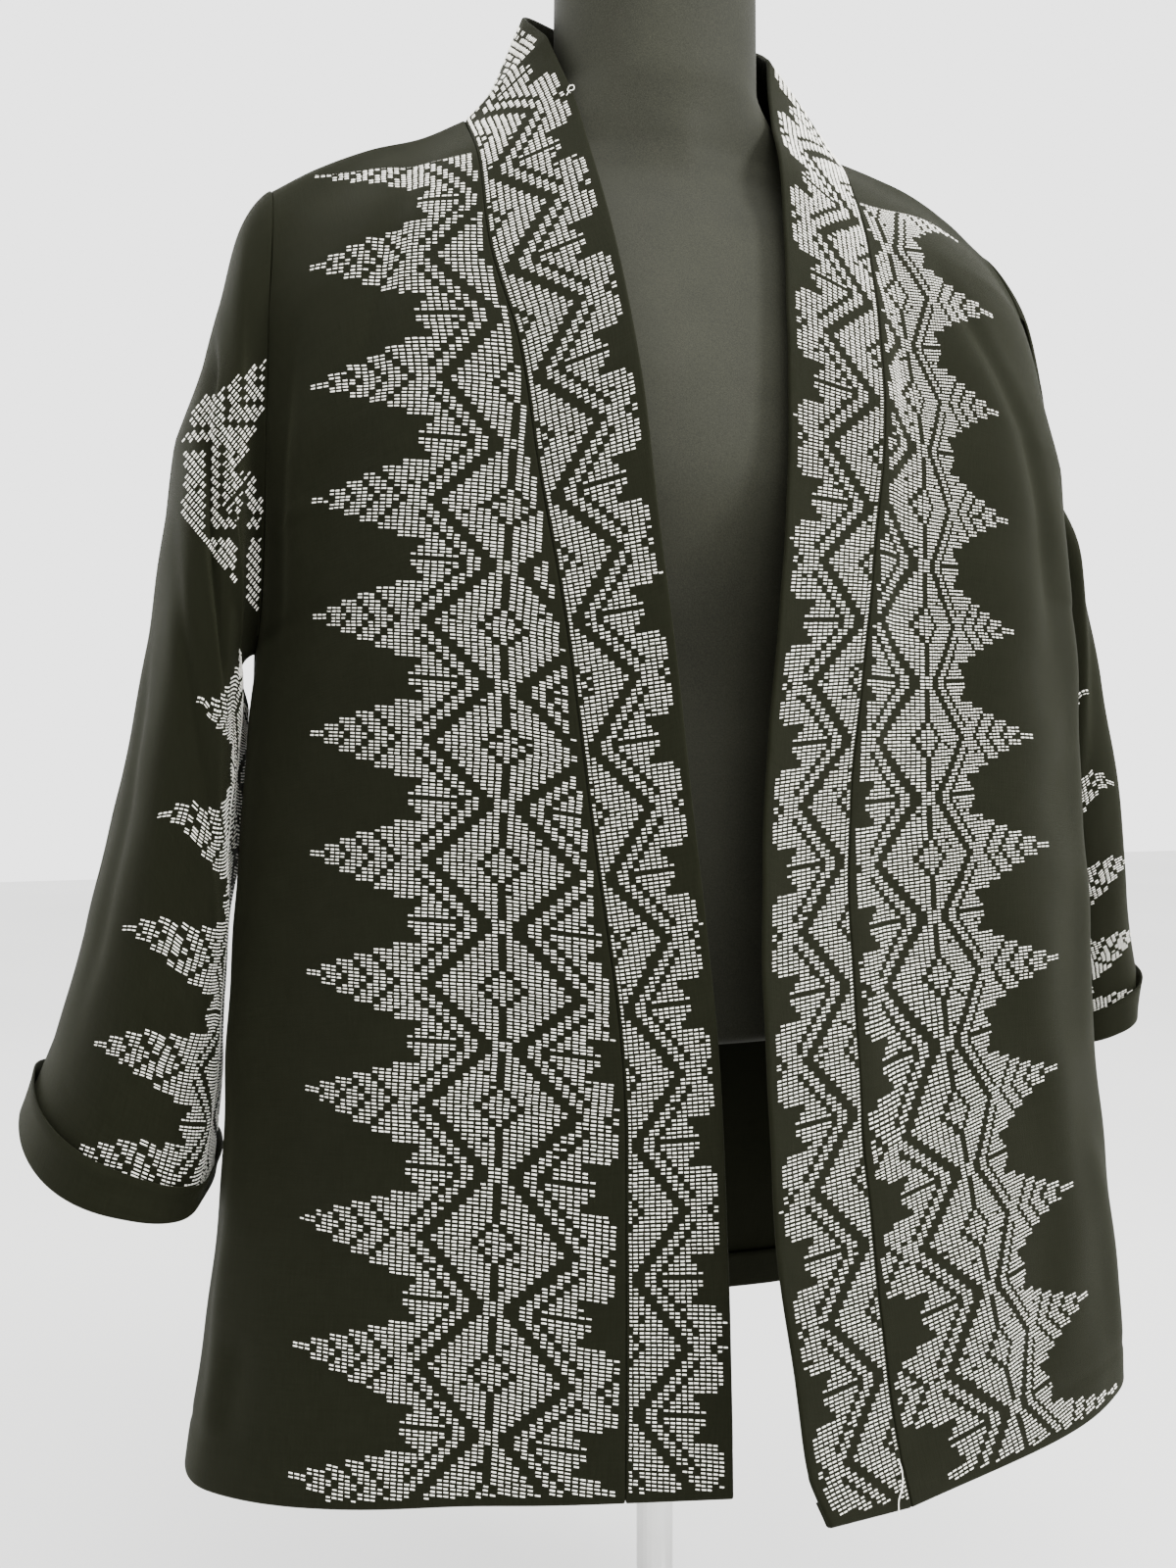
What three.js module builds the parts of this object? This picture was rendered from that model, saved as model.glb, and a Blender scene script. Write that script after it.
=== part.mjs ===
import * as THREE from 'three';

// Haori jacket, open at the front, on a limbless dress form with a round stand.
// Millimetres, +Z up. The front faces -Y and the wearer's right side is -X.
// The origin is the middle of the stand's underside.

// ---------------------------------------------------------------- driving sizes

const CLOTH_WALL = 2; // one layer of the woven cloth
const BAND_WALL = 3; // the neck band is folded double
const SEAM_GAP = 0.3; // between two pieces that are sewn to each other
const CORNER_RELIEF = 1.3; // how far a corner draws back where three pieces meet
const ARMHOLE_RELIEF = 0.5; // how far a sleeve's edge draws back from the armhole

const HEM_HEIGHT = 220;
const ARMHOLE_SHARE = 0.376; // how far down the side the sleeve reaches
const ARMHOLE_HALF_DEPTH = 44; // half the armhole's opening, front to back

const ARMHOLE_STEPS = 10; // rows of cloth beside the armhole
const SIDE_STEPS = 11; // rows from the armpit to the hem
const RIDGE_STEPS = 9; // columns along one shoulder
const NECK_STEPS = 5; // rows of each band behind the neck
const BAND_STEPS = 4; // columns across a band

const RIDGE_FADE = 0.14; // share of the length over which the shoulder's line fades

// ---------------------------------------------------------------- colours

const CLOTH_COLOUR = 0x1d1f18;
const STRIP_COLOUR = 0x8d8c80;
const FORM_COLOUR = 0x3c3d35;
const CAP_COLOUR = 0x2a2b26;
const STEEL_COLOUR = 0xb9bcc0;

// ---------------------------------------------------------------- edges of the pieces
// Each edge is a list of [x, y, z], from the shoulder to the hem or as named.

const RIGHT = {
  side: -1,
  ridge: [[-118, 0, 957], [-143, 4, 945], [-172, 6, 936], [-203, 9, 922], [-228, 12, 907]],
  seam: [
    [-118, 0, 957], [-121, -45, 920], [-122, -75, 862], [-112, -98, 804], [-106, -114, 736],
    [-98, -131, 664], [-87, -145, 550], [-76, -158, 439], [-75, -161, 340], [-76, -163, HEM_HEIGHT + 2],
  ],
  opening: [
    [-72, -9, 1008], [-65, -40, 962], [-62, -64, 921], [-59, -94, 867], [-55, -125, 787], [-52, -141, 714],
    [-46, -153, 634], [-42, -160, 574], [-35, -165, 501], [-30, -169, 438], [-26, -174, 300],
    [-25, -175, HEM_HEIGHT + 2],
  ],
  edge: [
    [-228, 12, 907], [-232, 16, 846], [-234, 20, 776], [-235, 24, 648], [-240, 20, 510], [-252, 6, 352],
    [-273, -14, HEM_HEIGHT - 4],
  ],
};

const LEFT = {
  side: 1,
  ridge: [[122, -3, 958], [148, 2, 954], [176, 4, 946], [204, 7, 932], [226, 10, 913]],
  seam: [
    [122, -3, 958], [110, -47, 922], [107, -70, 886], [100, -96, 833], [89, -123, 760], [81, -131, 721],
    [72, -139, 678], [63, -145, 625], [55, -150, 573], [49, -158, 522], [49, -163, 472], [48, -174, 399],
    [48, -184, 352], [51, -190, 305], [55, -194, 260], [62, -199, HEM_HEIGHT - 4],
  ],
  opening: [
    [75, -3, 1016], [63, -35, 966], [57, -57, 940], [48, -86, 878], [37, -114, 812], [27, -135, 739],
    [15, -152, 675], [6, -160, 614], [-2, -168, 560], [-8, -181, 478], [-9, -191, 408], [-9, -200, 339],
    [-3, -205, 293], [2, -210, 245], [11, -214, HEM_HEIGHT + 1],
  ],
  edge: [
    [226, 10, 913], [241, 12, 862], [249, 16, 790], [250, 20, 660], [248, 18, 520], [251, 6, 360],
    [254, -8, HEM_HEIGHT + 17],
  ],
};

const NECK_SEAM = [[-118, 0, 957], [-96, 44, 968], [0, 80, 977], [96, 44, 969], [122, -3, 958]];
const NECK_TOP = [[-72, -9, 1008], [-75, 27, 1034], [0, 73, 1041], [75, 29, 1034], [75, -3, 1016]];

const BACK_MIDDLE = [
  [0, 80, 977], [0, 98, 925], [0, 107, 850], [0, 109, 700], [0, 106, 500], [0, 108, 350], [0, 112, HEM_HEIGHT],
];

// How a front bulges between its band seam and its side: at each share of the length, the
// turn of the row away from a straight line (degrees) and the pull of that turn, at both ends.

const RIGHT_BULGE = [
  { along: 0.0, seamTurn: 0, seamPull: 0.33, edgeTurn: 0, edgePull: 0.33 },
  { along: 0.1, seamTurn: 14, seamPull: 0.36, edgeTurn: 30, edgePull: 0.36 },
  { along: 0.25, seamTurn: 28, seamPull: 0.4, edgeTurn: 48, edgePull: 0.36 },
  { along: 0.38, seamTurn: 32, seamPull: 0.4, edgeTurn: 50, edgePull: 0.34 },
  { along: 0.6, seamTurn: 28, seamPull: 0.45, edgeTurn: 64, edgePull: 0.34 },
  { along: 0.8, seamTurn: 24, seamPull: 0.5, edgeTurn: 68, edgePull: 0.36 },
  { along: 1.0, seamTurn: 22, seamPull: 0.53, edgeTurn: 70, edgePull: 0.38 },
];

const LEFT_BULGE = [
  { along: 0.0, seamTurn: 0, seamPull: 0.33, edgeTurn: 0, edgePull: 0.33 },
  { along: 0.1, seamTurn: 12, seamPull: 0.4, edgeTurn: 42, edgePull: 0.44 },
  { along: 0.25, seamTurn: 25, seamPull: 0.46, edgeTurn: 60, edgePull: 0.48 },
  { along: 0.38, seamTurn: 28, seamPull: 0.48, edgeTurn: 58, edgePull: 0.54 },
  { along: 0.6, seamTurn: 30, seamPull: 0.52, edgeTurn: 57, edgePull: 0.57 },
  { along: 0.8, seamTurn: 31, seamPull: 0.54, edgeTurn: 55, edgePull: 0.55 },
  { along: 1.0, seamTurn: 29, seamPull: 0.48, edgeTurn: 54, edgePull: 0.58 },
];

// The large folds that hang in each piece: where across the piece, how wide (both as shares of
// its width), how far out (or in, below 0) in millimetres, and from where to where along it.

const FOLDS = [
  { piece: 'left_front', at: 0.13, width: 0.11, depth: -8, from: 0.1, to: 0.85 },
  { piece: 'left_front', at: 0.34, width: 0.12, depth: 5, from: 0.1, to: 0.95 },
  { piece: 'left_front', at: 0.68, width: 0.1, depth: 4, from: 0.3, to: 1.1 },
  { piece: 'left_front', at: 0.82, width: 0.09, depth: -5, from: 0.3, to: 1.1 },
  { piece: 'right_front', at: 0.22, width: 0.1, depth: -4, from: 0.45, to: 1.1 },
  { piece: 'right_front', at: 0.62, width: 0.12, depth: -5, from: 0.15, to: 0.9 },
  { piece: 'right_front', at: 0.8, width: 0.1, depth: 4, from: 0.3, to: 1.1 },
  { piece: 'back_panel', at: 0.2, width: 0.07, depth: 7, from: 0.3, to: 1.1 },
  { piece: 'back_panel', at: 0.36, width: 0.07, depth: -8, from: 0.35, to: 1.1 },
  { piece: 'back_panel', at: 0.62, width: 0.08, depth: -9, from: 0.3, to: 1.1 },
  { piece: 'back_panel', at: 0.78, width: 0.07, depth: 7, from: 0.35, to: 1.1 },
  { piece: 'right_sleeve', at: 0.36, width: 0.06, depth: -9, from: 0.1, to: 0.62 },
  { piece: 'right_sleeve', at: 0.16, width: 0.05, depth: 5, from: 0.2, to: 0.8 },
  { piece: 'right_sleeve', at: 0.64, width: 0.06, depth: -9, from: 0.1, to: 0.7 },
  { piece: 'right_sleeve', at: 0.84, width: 0.05, depth: 5, from: 0.25, to: 0.9 },
  { piece: 'left_sleeve', at: 0.36, width: 0.06, depth: -8, from: 0.1, to: 0.6 },
  { piece: 'left_sleeve', at: 0.14, width: 0.05, depth: 5, from: 0.25, to: 0.85 },
  { piece: 'left_sleeve', at: 0.64, width: 0.06, depth: -9, from: 0.1, to: 0.7 },
];
const FOLD_FADE = 0.14; // share of the length over which a fold sets in and dies out
const FOLD_EDGE = 0.08; // share of the width over which it dies out beside a seam

// A sleeve's rings below the armhole: the outer line, the under-arm line, the middle of the
// ring, half its depth front to back, and how far its front hangs below its ends. x is the
// distance from the body's middle plane.

const RIGHT_RINGS = [
  { along: 0.1, outX: 249, outZ: 866, underX: 247, underZ: 626, middleY: 13, halfDepth: 52, droop: 0 },
  { along: 0.24, outX: 265, outZ: 808, underX: 247, underZ: 602, middleY: 15, halfDepth: 59, droop: 2 },
  { along: 0.33, outX: 280, outZ: 764, underX: 247, underZ: 580, middleY: 18, halfDepth: 63, droop: 3 },
  { along: 0.42, outX: 284, outZ: 725, underX: 247, underZ: 556, middleY: 20, halfDepth: 66, droop: 4 },
  { along: 0.55, outX: 294, outZ: 655, underX: 248, underZ: 512, middleY: 24, halfDepth: 70, droop: 5 },
  { along: 0.7, outX: 309, outZ: 572, underX: 250, underZ: 458, middleY: 28, halfDepth: 73, droop: 7 },
  { along: 0.84, outX: 328, outZ: 488, underX: 253, underZ: 408, middleY: 30, halfDepth: 76, droop: 9 },
  { along: 0.94, outX: 345, outZ: 428, underX: 256, underZ: 378, middleY: 31, halfDepth: 79, droop: 16 },
  { along: 1.0, outX: 361, outZ: 388, underX: 259, underZ: 358, middleY: 31, halfDepth: 84, droop: 21 },
];

const LEFT_RINGS = [
  { along: 0.1, outX: 249, outZ: 872, underX: 260, underZ: 638, middleY: 20, halfDepth: 50, droop: 0 },
  { along: 0.24, outX: 264, outZ: 812, underX: 261, underZ: 614, middleY: 28, halfDepth: 56, droop: 2 },
  { along: 0.33, outX: 277, outZ: 768, underX: 261, underZ: 594, middleY: 31, halfDepth: 60, droop: 3 },
  { along: 0.42, outX: 289, outZ: 728, underX: 260, underZ: 570, middleY: 33, halfDepth: 64, droop: 4 },
  { along: 0.55, outX: 305, outZ: 660, underX: 260, underZ: 530, middleY: 35, halfDepth: 68, droop: 5 },
  { along: 0.7, outX: 320, outZ: 580, underX: 261, underZ: 480, middleY: 36, halfDepth: 71, droop: 6 },
  { along: 0.84, outX: 330, outZ: 508, underX: 262, underZ: 438, middleY: 36, halfDepth: 74, droop: 7 },
  { along: 0.94, outX: 337, outZ: 458, underX: 262, underZ: 420, middleY: 36, halfDepth: 76, droop: 6 },
  { along: 1.0, outX: 334, outZ: 426, underX: 262, underZ: 404, middleY: 36, halfDepth: 78, droop: 6 },
];
const SLEEVE_STEPS = 16;
const SLEEVE_STEP_POWER = 1.2; // rows lie closer together beside the armhole
const RING_SQUARENESS = 0.8; // 1 is a plain oval
const ARMHOLE_LEAVE = 0.16; // share of the length over which the armhole's outline fades
const ARMHOLE_PUSH = 125; // how steeply the sleeve first leaves the body

// ---------------------------------------------------------------- the dress form and stand

// power is 2 for a plain oval, and less where the section draws in towards the shoulders' line.

const FORM_SECTIONS = [
  { z: 436, halfWidth: 156, front: 104, back: 86, power: 2 },
  { z: 470, halfWidth: 160, front: 106, back: 92, power: 2 },
  { z: 520, halfWidth: 160, front: 104, back: 94, power: 2 },
  { z: 570, halfWidth: 144, front: 97, back: 84, power: 2 },
  { z: 620, halfWidth: 126, front: 92, back: 75, power: 2 },
  { z: 680, halfWidth: 136, front: 102, back: 82, power: 2 },
  { z: 740, halfWidth: 150, front: 117, back: 90, power: 2 },
  { z: 790, halfWidth: 162, front: 108, back: 93, power: 2 },
  { z: 835, halfWidth: 176, front: 92, back: 90, power: 2 },
  { z: 870, halfWidth: 186, front: 78, back: 80, power: 1.9 },
  { z: 895, halfWidth: 186, front: 68, back: 68, power: 1.7 },
  { z: 912, halfWidth: 180, front: 58, back: 62, power: 1.4 },
  { z: 926, halfWidth: 168, front: 54, back: 58, power: 1.1 },
  { z: 938, halfWidth: 146, front: 54, back: 56, power: 1.05 },
  { z: 948, halfWidth: 122, front: 55, back: 56, power: 1.15 },
  { z: 957, halfWidth: 96, front: 55, back: 58, power: 1.4 },
  { z: 967, halfWidth: 76, front: 56, back: 59, power: 1.7 },
  { z: 985, halfWidth: 62, front: 58, back: 60, power: 2 },
  { z: 1058, halfWidth: 61, front: 60, back: 60, power: 2 },
];
const FORM_SIDES = 36;
const FORM_EDGE = 6; // rounding of the form's lower edge

const NECK_CAP_RADIUS = 58;
const NECK_CAP_HEIGHT = 14;
const NECK_CAP_EDGE = 4;

const BASE_RADIUS = 140;
const BASE_HEIGHT = 9;
const BASE_EDGE = 3;
const POST_RADIUS = 11;
const SOCKET_RADIUS = 20;
const SOCKET_HEIGHT = 34;
const FLANGE_RADIUS = 34;
const FLANGE_HEIGHT = 6;
const SIT = 0.3; // clearance between two hard pieces that rest on each other

// ---------------------------------------------------------------- small helpers

const vector = ([x, y, z]) => new THREE.Vector3(x, y, z);
const line = (points) => new THREE.CatmullRomCurve3(points.map(vector), false, 'centripetal');
const smooth = (from, to, value) => THREE.MathUtils.smoothstep(value, from, to);

// Value of one column of a table at a share of the length, on straight lines between rows.
function tableValue(table, key, along) {
  const last = table.length - 1;
  let row = 0;
  while (row < last - 1 && table[row + 1].along < along) row += 1;
  const [low, high] = [table[row], table[row + 1]];
  const share = THREE.MathUtils.clamp((along - low.along) / (high.along - low.along), 0, 1);
  return THREE.MathUtils.lerp(low[key], high[key], share);
}

// Shares of the length at which the body's rows lie: beside the armhole they are even steps
// of angle round its oval, and below it they are even steps of length.
const ROWS = [];
for (let step = 0; step <= ARMHOLE_STEPS; step += 1) {
  ROWS.push((ARMHOLE_SHARE * (1 - Math.cos((Math.PI * step) / ARMHOLE_STEPS))) / 2);
}
for (let step = 1; step <= SIDE_STEPS; step += 1) {
  ROWS.push(ARMHOLE_SHARE + ((1 - ARMHOLE_SHARE) * step) / SIDE_STEPS);
}

// How far the folds of a piece push its cloth out at a place on it.
function foldDepth(piece, across, along) {
  const edge = smooth(0, FOLD_EDGE, across) * (1 - smooth(1 - FOLD_EDGE, 1, across));
  return FOLDS.filter((fold) => fold.piece === piece).reduce((sum, fold) => {
    const window = smooth(fold.from, fold.from + FOLD_FADE, along) * (1 - smooth(fold.to - FOLD_FADE, fold.to, along));
    return sum + edge * window * fold.depth * Math.exp(-(((across - fold.at) / fold.width) ** 2));
  }, 0);
}

// ---------------------------------------------------------------- a sheet of cloth

// A grid of points that lies in the middle of the cloth's wall. pointAt(row, column) gives a
// point, and facing is +1 where the outside is the side of (column step) x (row step).
class Sheet {
  constructor({ name, rows, columns, wall, facing, colour, closed = false, pointAt }) {
    Object.assign(this, { name, rows, columns, wall, facing, colour, closed });
    this.points = [];
    for (let row = 0; row < rows; row += 1) {
      for (let column = 0; column < columns; column += 1) {
        this.points.push(pointAt(row, column));
      }
    }
    this.normals = this.points.map((_, index) => this.normalAt(index));
    this.pull = this.points.map(() => 0);
  }

  index(row, column) {
    return row * this.columns + ((column + this.columns) % this.columns);
  }

  // The neighbours of a point along one direction, or the point itself at an edge.
  neighbours(index, across) {
    const row = Math.floor(index / this.columns);
    const column = index % this.columns;
    if (!across) {
      return [this.index(Math.max(row - 1, 0), column), this.index(Math.min(row + 1, this.rows - 1), column)];
    }
    if (this.closed) return [this.index(row, column - 1), this.index(row, column + 1)];
    return [this.index(row, Math.max(column - 1, 0)), this.index(row, Math.min(column + 1, this.columns - 1))];
  }

  normalAt(index) {
    const [left, right] = this.neighbours(index, true).map((i) => this.points[i]);
    const [up, down] = this.neighbours(index, false).map((i) => this.points[i]);
    const across = right.clone().sub(left);
    const along = down.clone().sub(up);
    return across.cross(along).normalize().multiplyScalar(this.facing);
  }

  isEdge(index) {
    const row = Math.floor(index / this.columns);
    const column = index % this.columns;
    if (row === 0 || row === this.rows - 1) return true;
    return !this.closed && (column === 0 || column === this.columns - 1);
  }

  // Moves the sewn edges back into the piece.
  pullBackSeams() {
    const start = this.points.map((point) => point.clone());
    this.points.forEach((point, index) => {
      if (!this.pull[index]) return;
      for (const across of [true, false]) {
        const [before, after] = this.neighbours(index, across);
        if (this.closed && across) continue;
        const inside = before === index ? after : before;
        if (before !== index && after !== index) continue;
        const direction = start[inside].clone().sub(start[index]).normalize();
        point.addScaledVector(direction, this.pull[index]);
      }
    });
  }

  // The closed wall: the outer skin, the inner skin and the rims that join them.
  mesh() {
    const half = this.wall / 2;
    const count = this.points.length;
    const positions = [];
    for (const sign of [half, -half]) {
      this.points.forEach((point, index) => {
        positions.push(...point.clone().addScaledVector(this.normals[index], sign).toArray());
      });
    }
    const faces = [];
    const quad = (a, b, c, d) => {
      if (this.facing > 0) faces.push(a, b, c, a, c, d);
      else faces.push(a, c, b, a, d, c);
    };
    const spans = this.closed ? this.columns : this.columns - 1;
    for (let row = 0; row < this.rows - 1; row += 1) {
      for (let column = 0; column < spans; column += 1) {
        const a = this.index(row, column);
        const b = this.index(row, column + 1);
        const c = this.index(row + 1, column + 1);
        const d = this.index(row + 1, column);
        quad(a, b, c, d);
        quad(a + count, d + count, c + count, b + count);
      }
    }
    for (let column = 0; column < spans; column += 1) {
      const a = this.index(0, column);
      const b = this.index(0, column + 1);
      quad(a, a + count, b + count, b);
      const c = this.index(this.rows - 1, column);
      const d = this.index(this.rows - 1, column + 1);
      quad(c, d, d + count, c + count);
    }
    if (!this.closed) {
      for (let row = 0; row < this.rows - 1; row += 1) {
        const a = this.index(row, 0);
        const b = this.index(row + 1, 0);
        quad(a, b, b + count, a + count);
        const c = this.index(row, this.columns - 1);
        const d = this.index(row + 1, this.columns - 1);
        quad(c, c + count, d + count, d);
      }
    }
    const geometry = new THREE.BufferGeometry();
    geometry.setAttribute('position', new THREE.Float32BufferAttribute(positions, 3));
    geometry.setIndex(faces);
    return namedMesh(this.name, geometry, this.colour, 0.85, 0);
  }
}

// Edge points of two or three sheets that meet share one normal, so the walls end face to face.
function sew(sheets) {
  const reach = 0.5;
  const edges = [];
  for (const sheet of sheets) {
    sheet.points.forEach((point, index) => {
      if (sheet.isEdge(index)) edges.push({ sheet, index, point });
    });
  }
  const done = new Set();
  edges.forEach((first, position) => {
    if (done.has(position)) return;
    const group = [position];
    for (let other = position + 1; other < edges.length; other += 1) {
      if (edges[other].sheet !== first.sheet && edges[other].point.distanceTo(first.point) < reach) {
        group.push(other);
      }
    }
    if (group.length < 2) return;
    const shared = new THREE.Vector3();
    for (const member of group) shared.add(edges[member].sheet.normals[edges[member].index]);
    shared.normalize();
    for (const member of group) {
      const { sheet, index } = edges[member];
      const pull = sheet.closed ? ARMHOLE_RELIEF : SEAM_GAP / 2;
      sheet.normals[index] = shared;
      sheet.pull[index] = group.length > 2 ? CORNER_RELIEF : pull;
      done.add(member);
    }
  });
  for (const sheet of sheets) sheet.pullBackSeams();
}

// ---------------------------------------------------------------- body pieces

// How far the armhole's own oval swings away from the side's middle line.
function armholeSwing(along) {
  if (along >= ARMHOLE_SHARE) return 0;
  return ARMHOLE_HALF_DEPTH * Math.sin(Math.acos(1 - (2 * along) / ARMHOLE_SHARE));
}

// The softer swing that the middle of a panel follows, so that no crease starts at the armpit.
function panelSwing(along) {
  const share = along / ARMHOLE_SHARE;
  return 0.85 * ARMHOLE_HALF_DEPTH * smooth(0, 0.35, share) * (1 - smooth(0.45, 1.5, share));
}

// The side edge of the body at a share of its length, swung forward (below 0) or back.
function sideEdge(half, along, swing) {
  const point = line(half.edge).getPointAt(along);
  point.y += swing;
  return point;
}

// A row of a front is a cubic curve from the band seam to the side, seen from above, and its
// height runs evenly. Near the shoulder it takes on the ridge's own line.
function frontSheet(name, half, bulge) {
  const ridge = line(half.ridge);
  const seam = line(half.seam);
  const chordStart = vector(half.ridge[0]);
  const chordEnd = vector(half.ridge[half.ridge.length - 1]);
  return new Sheet({
    name,
    rows: ROWS.length,
    columns: RIDGE_STEPS + 1,
    wall: CLOTH_WALL,
    facing: -half.side,
    colour: CLOTH_COLOUR,
    pointAt: (row, column) => {
      const along = ROWS[row];
      const across = column / RIDGE_STEPS;
      const start = seam.getPointAt(along);
      const end = sideEdge(half, along, -panelSwing(along));
      const chord = end.clone().sub(start);
      const turned = (vec, degrees, pull) =>
        vec.clone().setZ(0).applyAxisAngle(new THREE.Vector3(0, 0, 1), THREE.MathUtils.degToRad(degrees))
          .multiplyScalar(pull).setZ((vec.z) / 3);
      const seamTurn = -half.side * tableValue(bulge, 'seamTurn', along);
      const edgeTurn = half.side * tableValue(bulge, 'edgeTurn', along);
      const first = start.clone().add(turned(chord, seamTurn, tableValue(bulge, 'seamPull', along)));
      const second = end.clone().add(turned(chord.clone().negate(), edgeTurn, tableValue(bulge, 'edgePull', along)));
      const point = new THREE.CubicBezierCurve3(start, first, second, end).getPoint(across);
      const onRidge = ridge.getPointAt(across);
      const onChord = chordStart.clone().lerp(chordEnd, across);
      const fade = 1 - smooth(0, RIDGE_FADE, along);
      const outward = new THREE.Vector3(chord.y, -chord.x, 0).normalize().multiplyScalar(half.side);
      point.addScaledVector(onRidge.sub(onChord), fade);
      point.y -= (armholeSwing(along) - panelSwing(along)) * across ** 4;
      return point.addScaledVector(outward, foldDepth(name, across, along));
    },
  });
}

// A row of the back is a flattened half oval from side to side. Its first row is the two
// shoulder ridges and the neck seam between them, which fade into the oval below.
function backSheet() {
  const [rightRidge, leftRidge, neck] = [line(RIGHT.ridge), line(LEFT.ridge), line(NECK_SEAM)];
  const middle = line(BACK_MIDDLE);
  const top = [];
  for (let step = RIDGE_STEPS; step > 0; step -= 1) top.push(rightRidge.getPointAt(step / RIDGE_STEPS));
  for (let step = 0; step < 2 * NECK_STEPS; step += 1) top.push(neck.getPointAt(step / (2 * NECK_STEPS)));
  for (let step = 0; step <= RIDGE_STEPS; step += 1) top.push(leftRidge.getPointAt(step / RIDGE_STEPS));
  const widthPower = 2.5;
  const heightPower = 1.6;
  const oval = (along, topPoint) => {
    const half = topPoint.x < 0 ? RIGHT : LEFT;
    const edge = sideEdge(half, along, panelSwing(along));
    const tip = half.ridge[half.ridge.length - 1][0];
    const share = Math.min(topPoint.x / tip, 1);
    const centre = middle.getPointAt(along);
    const swing = (armholeSwing(along) - panelSwing(along)) * share ** 5;
    return new THREE.Vector3(
      share * edge.x,
      THREE.MathUtils.lerp(edge.y, centre.y, Math.sqrt(1 - share ** widthPower)) + swing,
      THREE.MathUtils.lerp(edge.z, centre.z, 1 - share ** heightPower),
    );
  };
  return new Sheet({
    name: 'back_panel',
    rows: ROWS.length,
    columns: top.length,
    wall: CLOTH_WALL,
    facing: 1,
    colour: CLOTH_COLOUR,
    pointAt: (row, column) => {
      const along = ROWS[row];
      const fade = (1 - smooth(0, RIDGE_FADE, along)) ** 2;
      const residual = top[column].clone().sub(oval(0, top[column]));
      const point = oval(along, top[column]).addScaledVector(residual, fade);
      point.y += foldDepth('back_panel', column / (top.length - 1), along);
      return point;
    },
  });
}

// A band runs from the middle of the back of the neck down its front to the hem, straight
// across from its seam to its free edge.
function bandSheet(name, half) {
  const neckSeam = line(half.side < 0 ? NECK_SEAM : [...NECK_SEAM].reverse());
  const neckTop = line(half.side < 0 ? NECK_TOP : [...NECK_TOP].reverse());
  const seam = line(half.seam);
  const opening = line(half.opening);
  return new Sheet({
    name,
    rows: NECK_STEPS + ROWS.length,
    columns: BAND_STEPS + 1,
    wall: BAND_WALL,
    facing: half.side,
    colour: STRIP_COLOUR,
    pointAt: (row, column) => {
      const across = column / BAND_STEPS;
      if (row < NECK_STEPS) {
        const along = 0.5 - (0.5 * row) / NECK_STEPS;
        return neckSeam.getPointAt(along).lerp(neckTop.getPointAt(along), across);
      }
      const along = ROWS[row - NECK_STEPS];
      return seam.getPointAt(along).lerp(opening.getPointAt(along), across);
    },
  });
}

// A sleeve is a tube of oval rings. Its first ring is the armhole, and the rings turn from
// upright at the armhole to level at the wrist, as the cloth hangs from the shoulder.
function sleeveSheet(name, half, rings) {
  const columns = 2 * ARMHOLE_STEPS;
  const squared = (value) => Math.sign(value) * Math.abs(value) ** RING_SQUARENESS;
  const ringPoint = (along, turn) => {
    const value = (key) => tableValue(rings, key, along);
    const outer = new THREE.Vector3(half.side * value('outX'), value('middleY'), value('outZ'));
    const under = new THREE.Vector3(half.side * value('underX'), value('middleY'), value('underZ'));
    const middle = outer.clone().lerp(under, 0.5);
    const size = 1 + foldDepth(name, turn / (2 * Math.PI), along) / value('halfDepth');
    const point = middle.clone().addScaledVector(outer.clone().sub(middle), size * squared(Math.cos(turn)));
    point.y -= size * value('halfDepth') * squared(Math.sin(turn));
    point.z -= value('droop') * Math.max(0, Math.sin(turn));
    return point;
  };
  return new Sheet({
    name,
    rows: SLEEVE_STEPS + 1,
    columns,
    wall: CLOTH_WALL,
    facing: half.side,
    colour: CLOTH_COLOUR,
    closed: true,
    pointAt: (row, column) => {
      const turn = (Math.PI * column) / ARMHOLE_STEPS;
      const towards = column <= ARMHOLE_STEPS ? -1 : 1;
      const step = column <= ARMHOLE_STEPS ? column : columns - column;
      const along = (row / SLEEVE_STEPS) ** SLEEVE_STEP_POWER;
      const armhole = sideEdge(half, ROWS[step], towards * armholeSwing(ROWS[step]));
      armhole.x += half.side * ARMHOLE_PUSH * along;
      return armhole.lerp(ringPoint(along, turn), smooth(0, ARMHOLE_LEAVE, along));
    },
  });
}

// ---------------------------------------------------------------- hard pieces

function namedMesh(name, geometry, colour, roughness, metalness) {
  const mesh = new THREE.Mesh(geometry, new THREE.MeshStandardMaterial({ color: colour, roughness, metalness }));
  mesh.name = name;
  return mesh;
}

// A solid turned about the upright axis. The profile is [radius, height] from axis to axis.
function turned(name, profile, sides, colour, roughness, metalness) {
  const geometry = new THREE.LatheGeometry(profile.map(([r, z]) => new THREE.Vector2(r, z)), sides);
  geometry.rotateX(Math.PI / 2);
  return namedMesh(name, geometry, colour, roughness, metalness);
}

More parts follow.
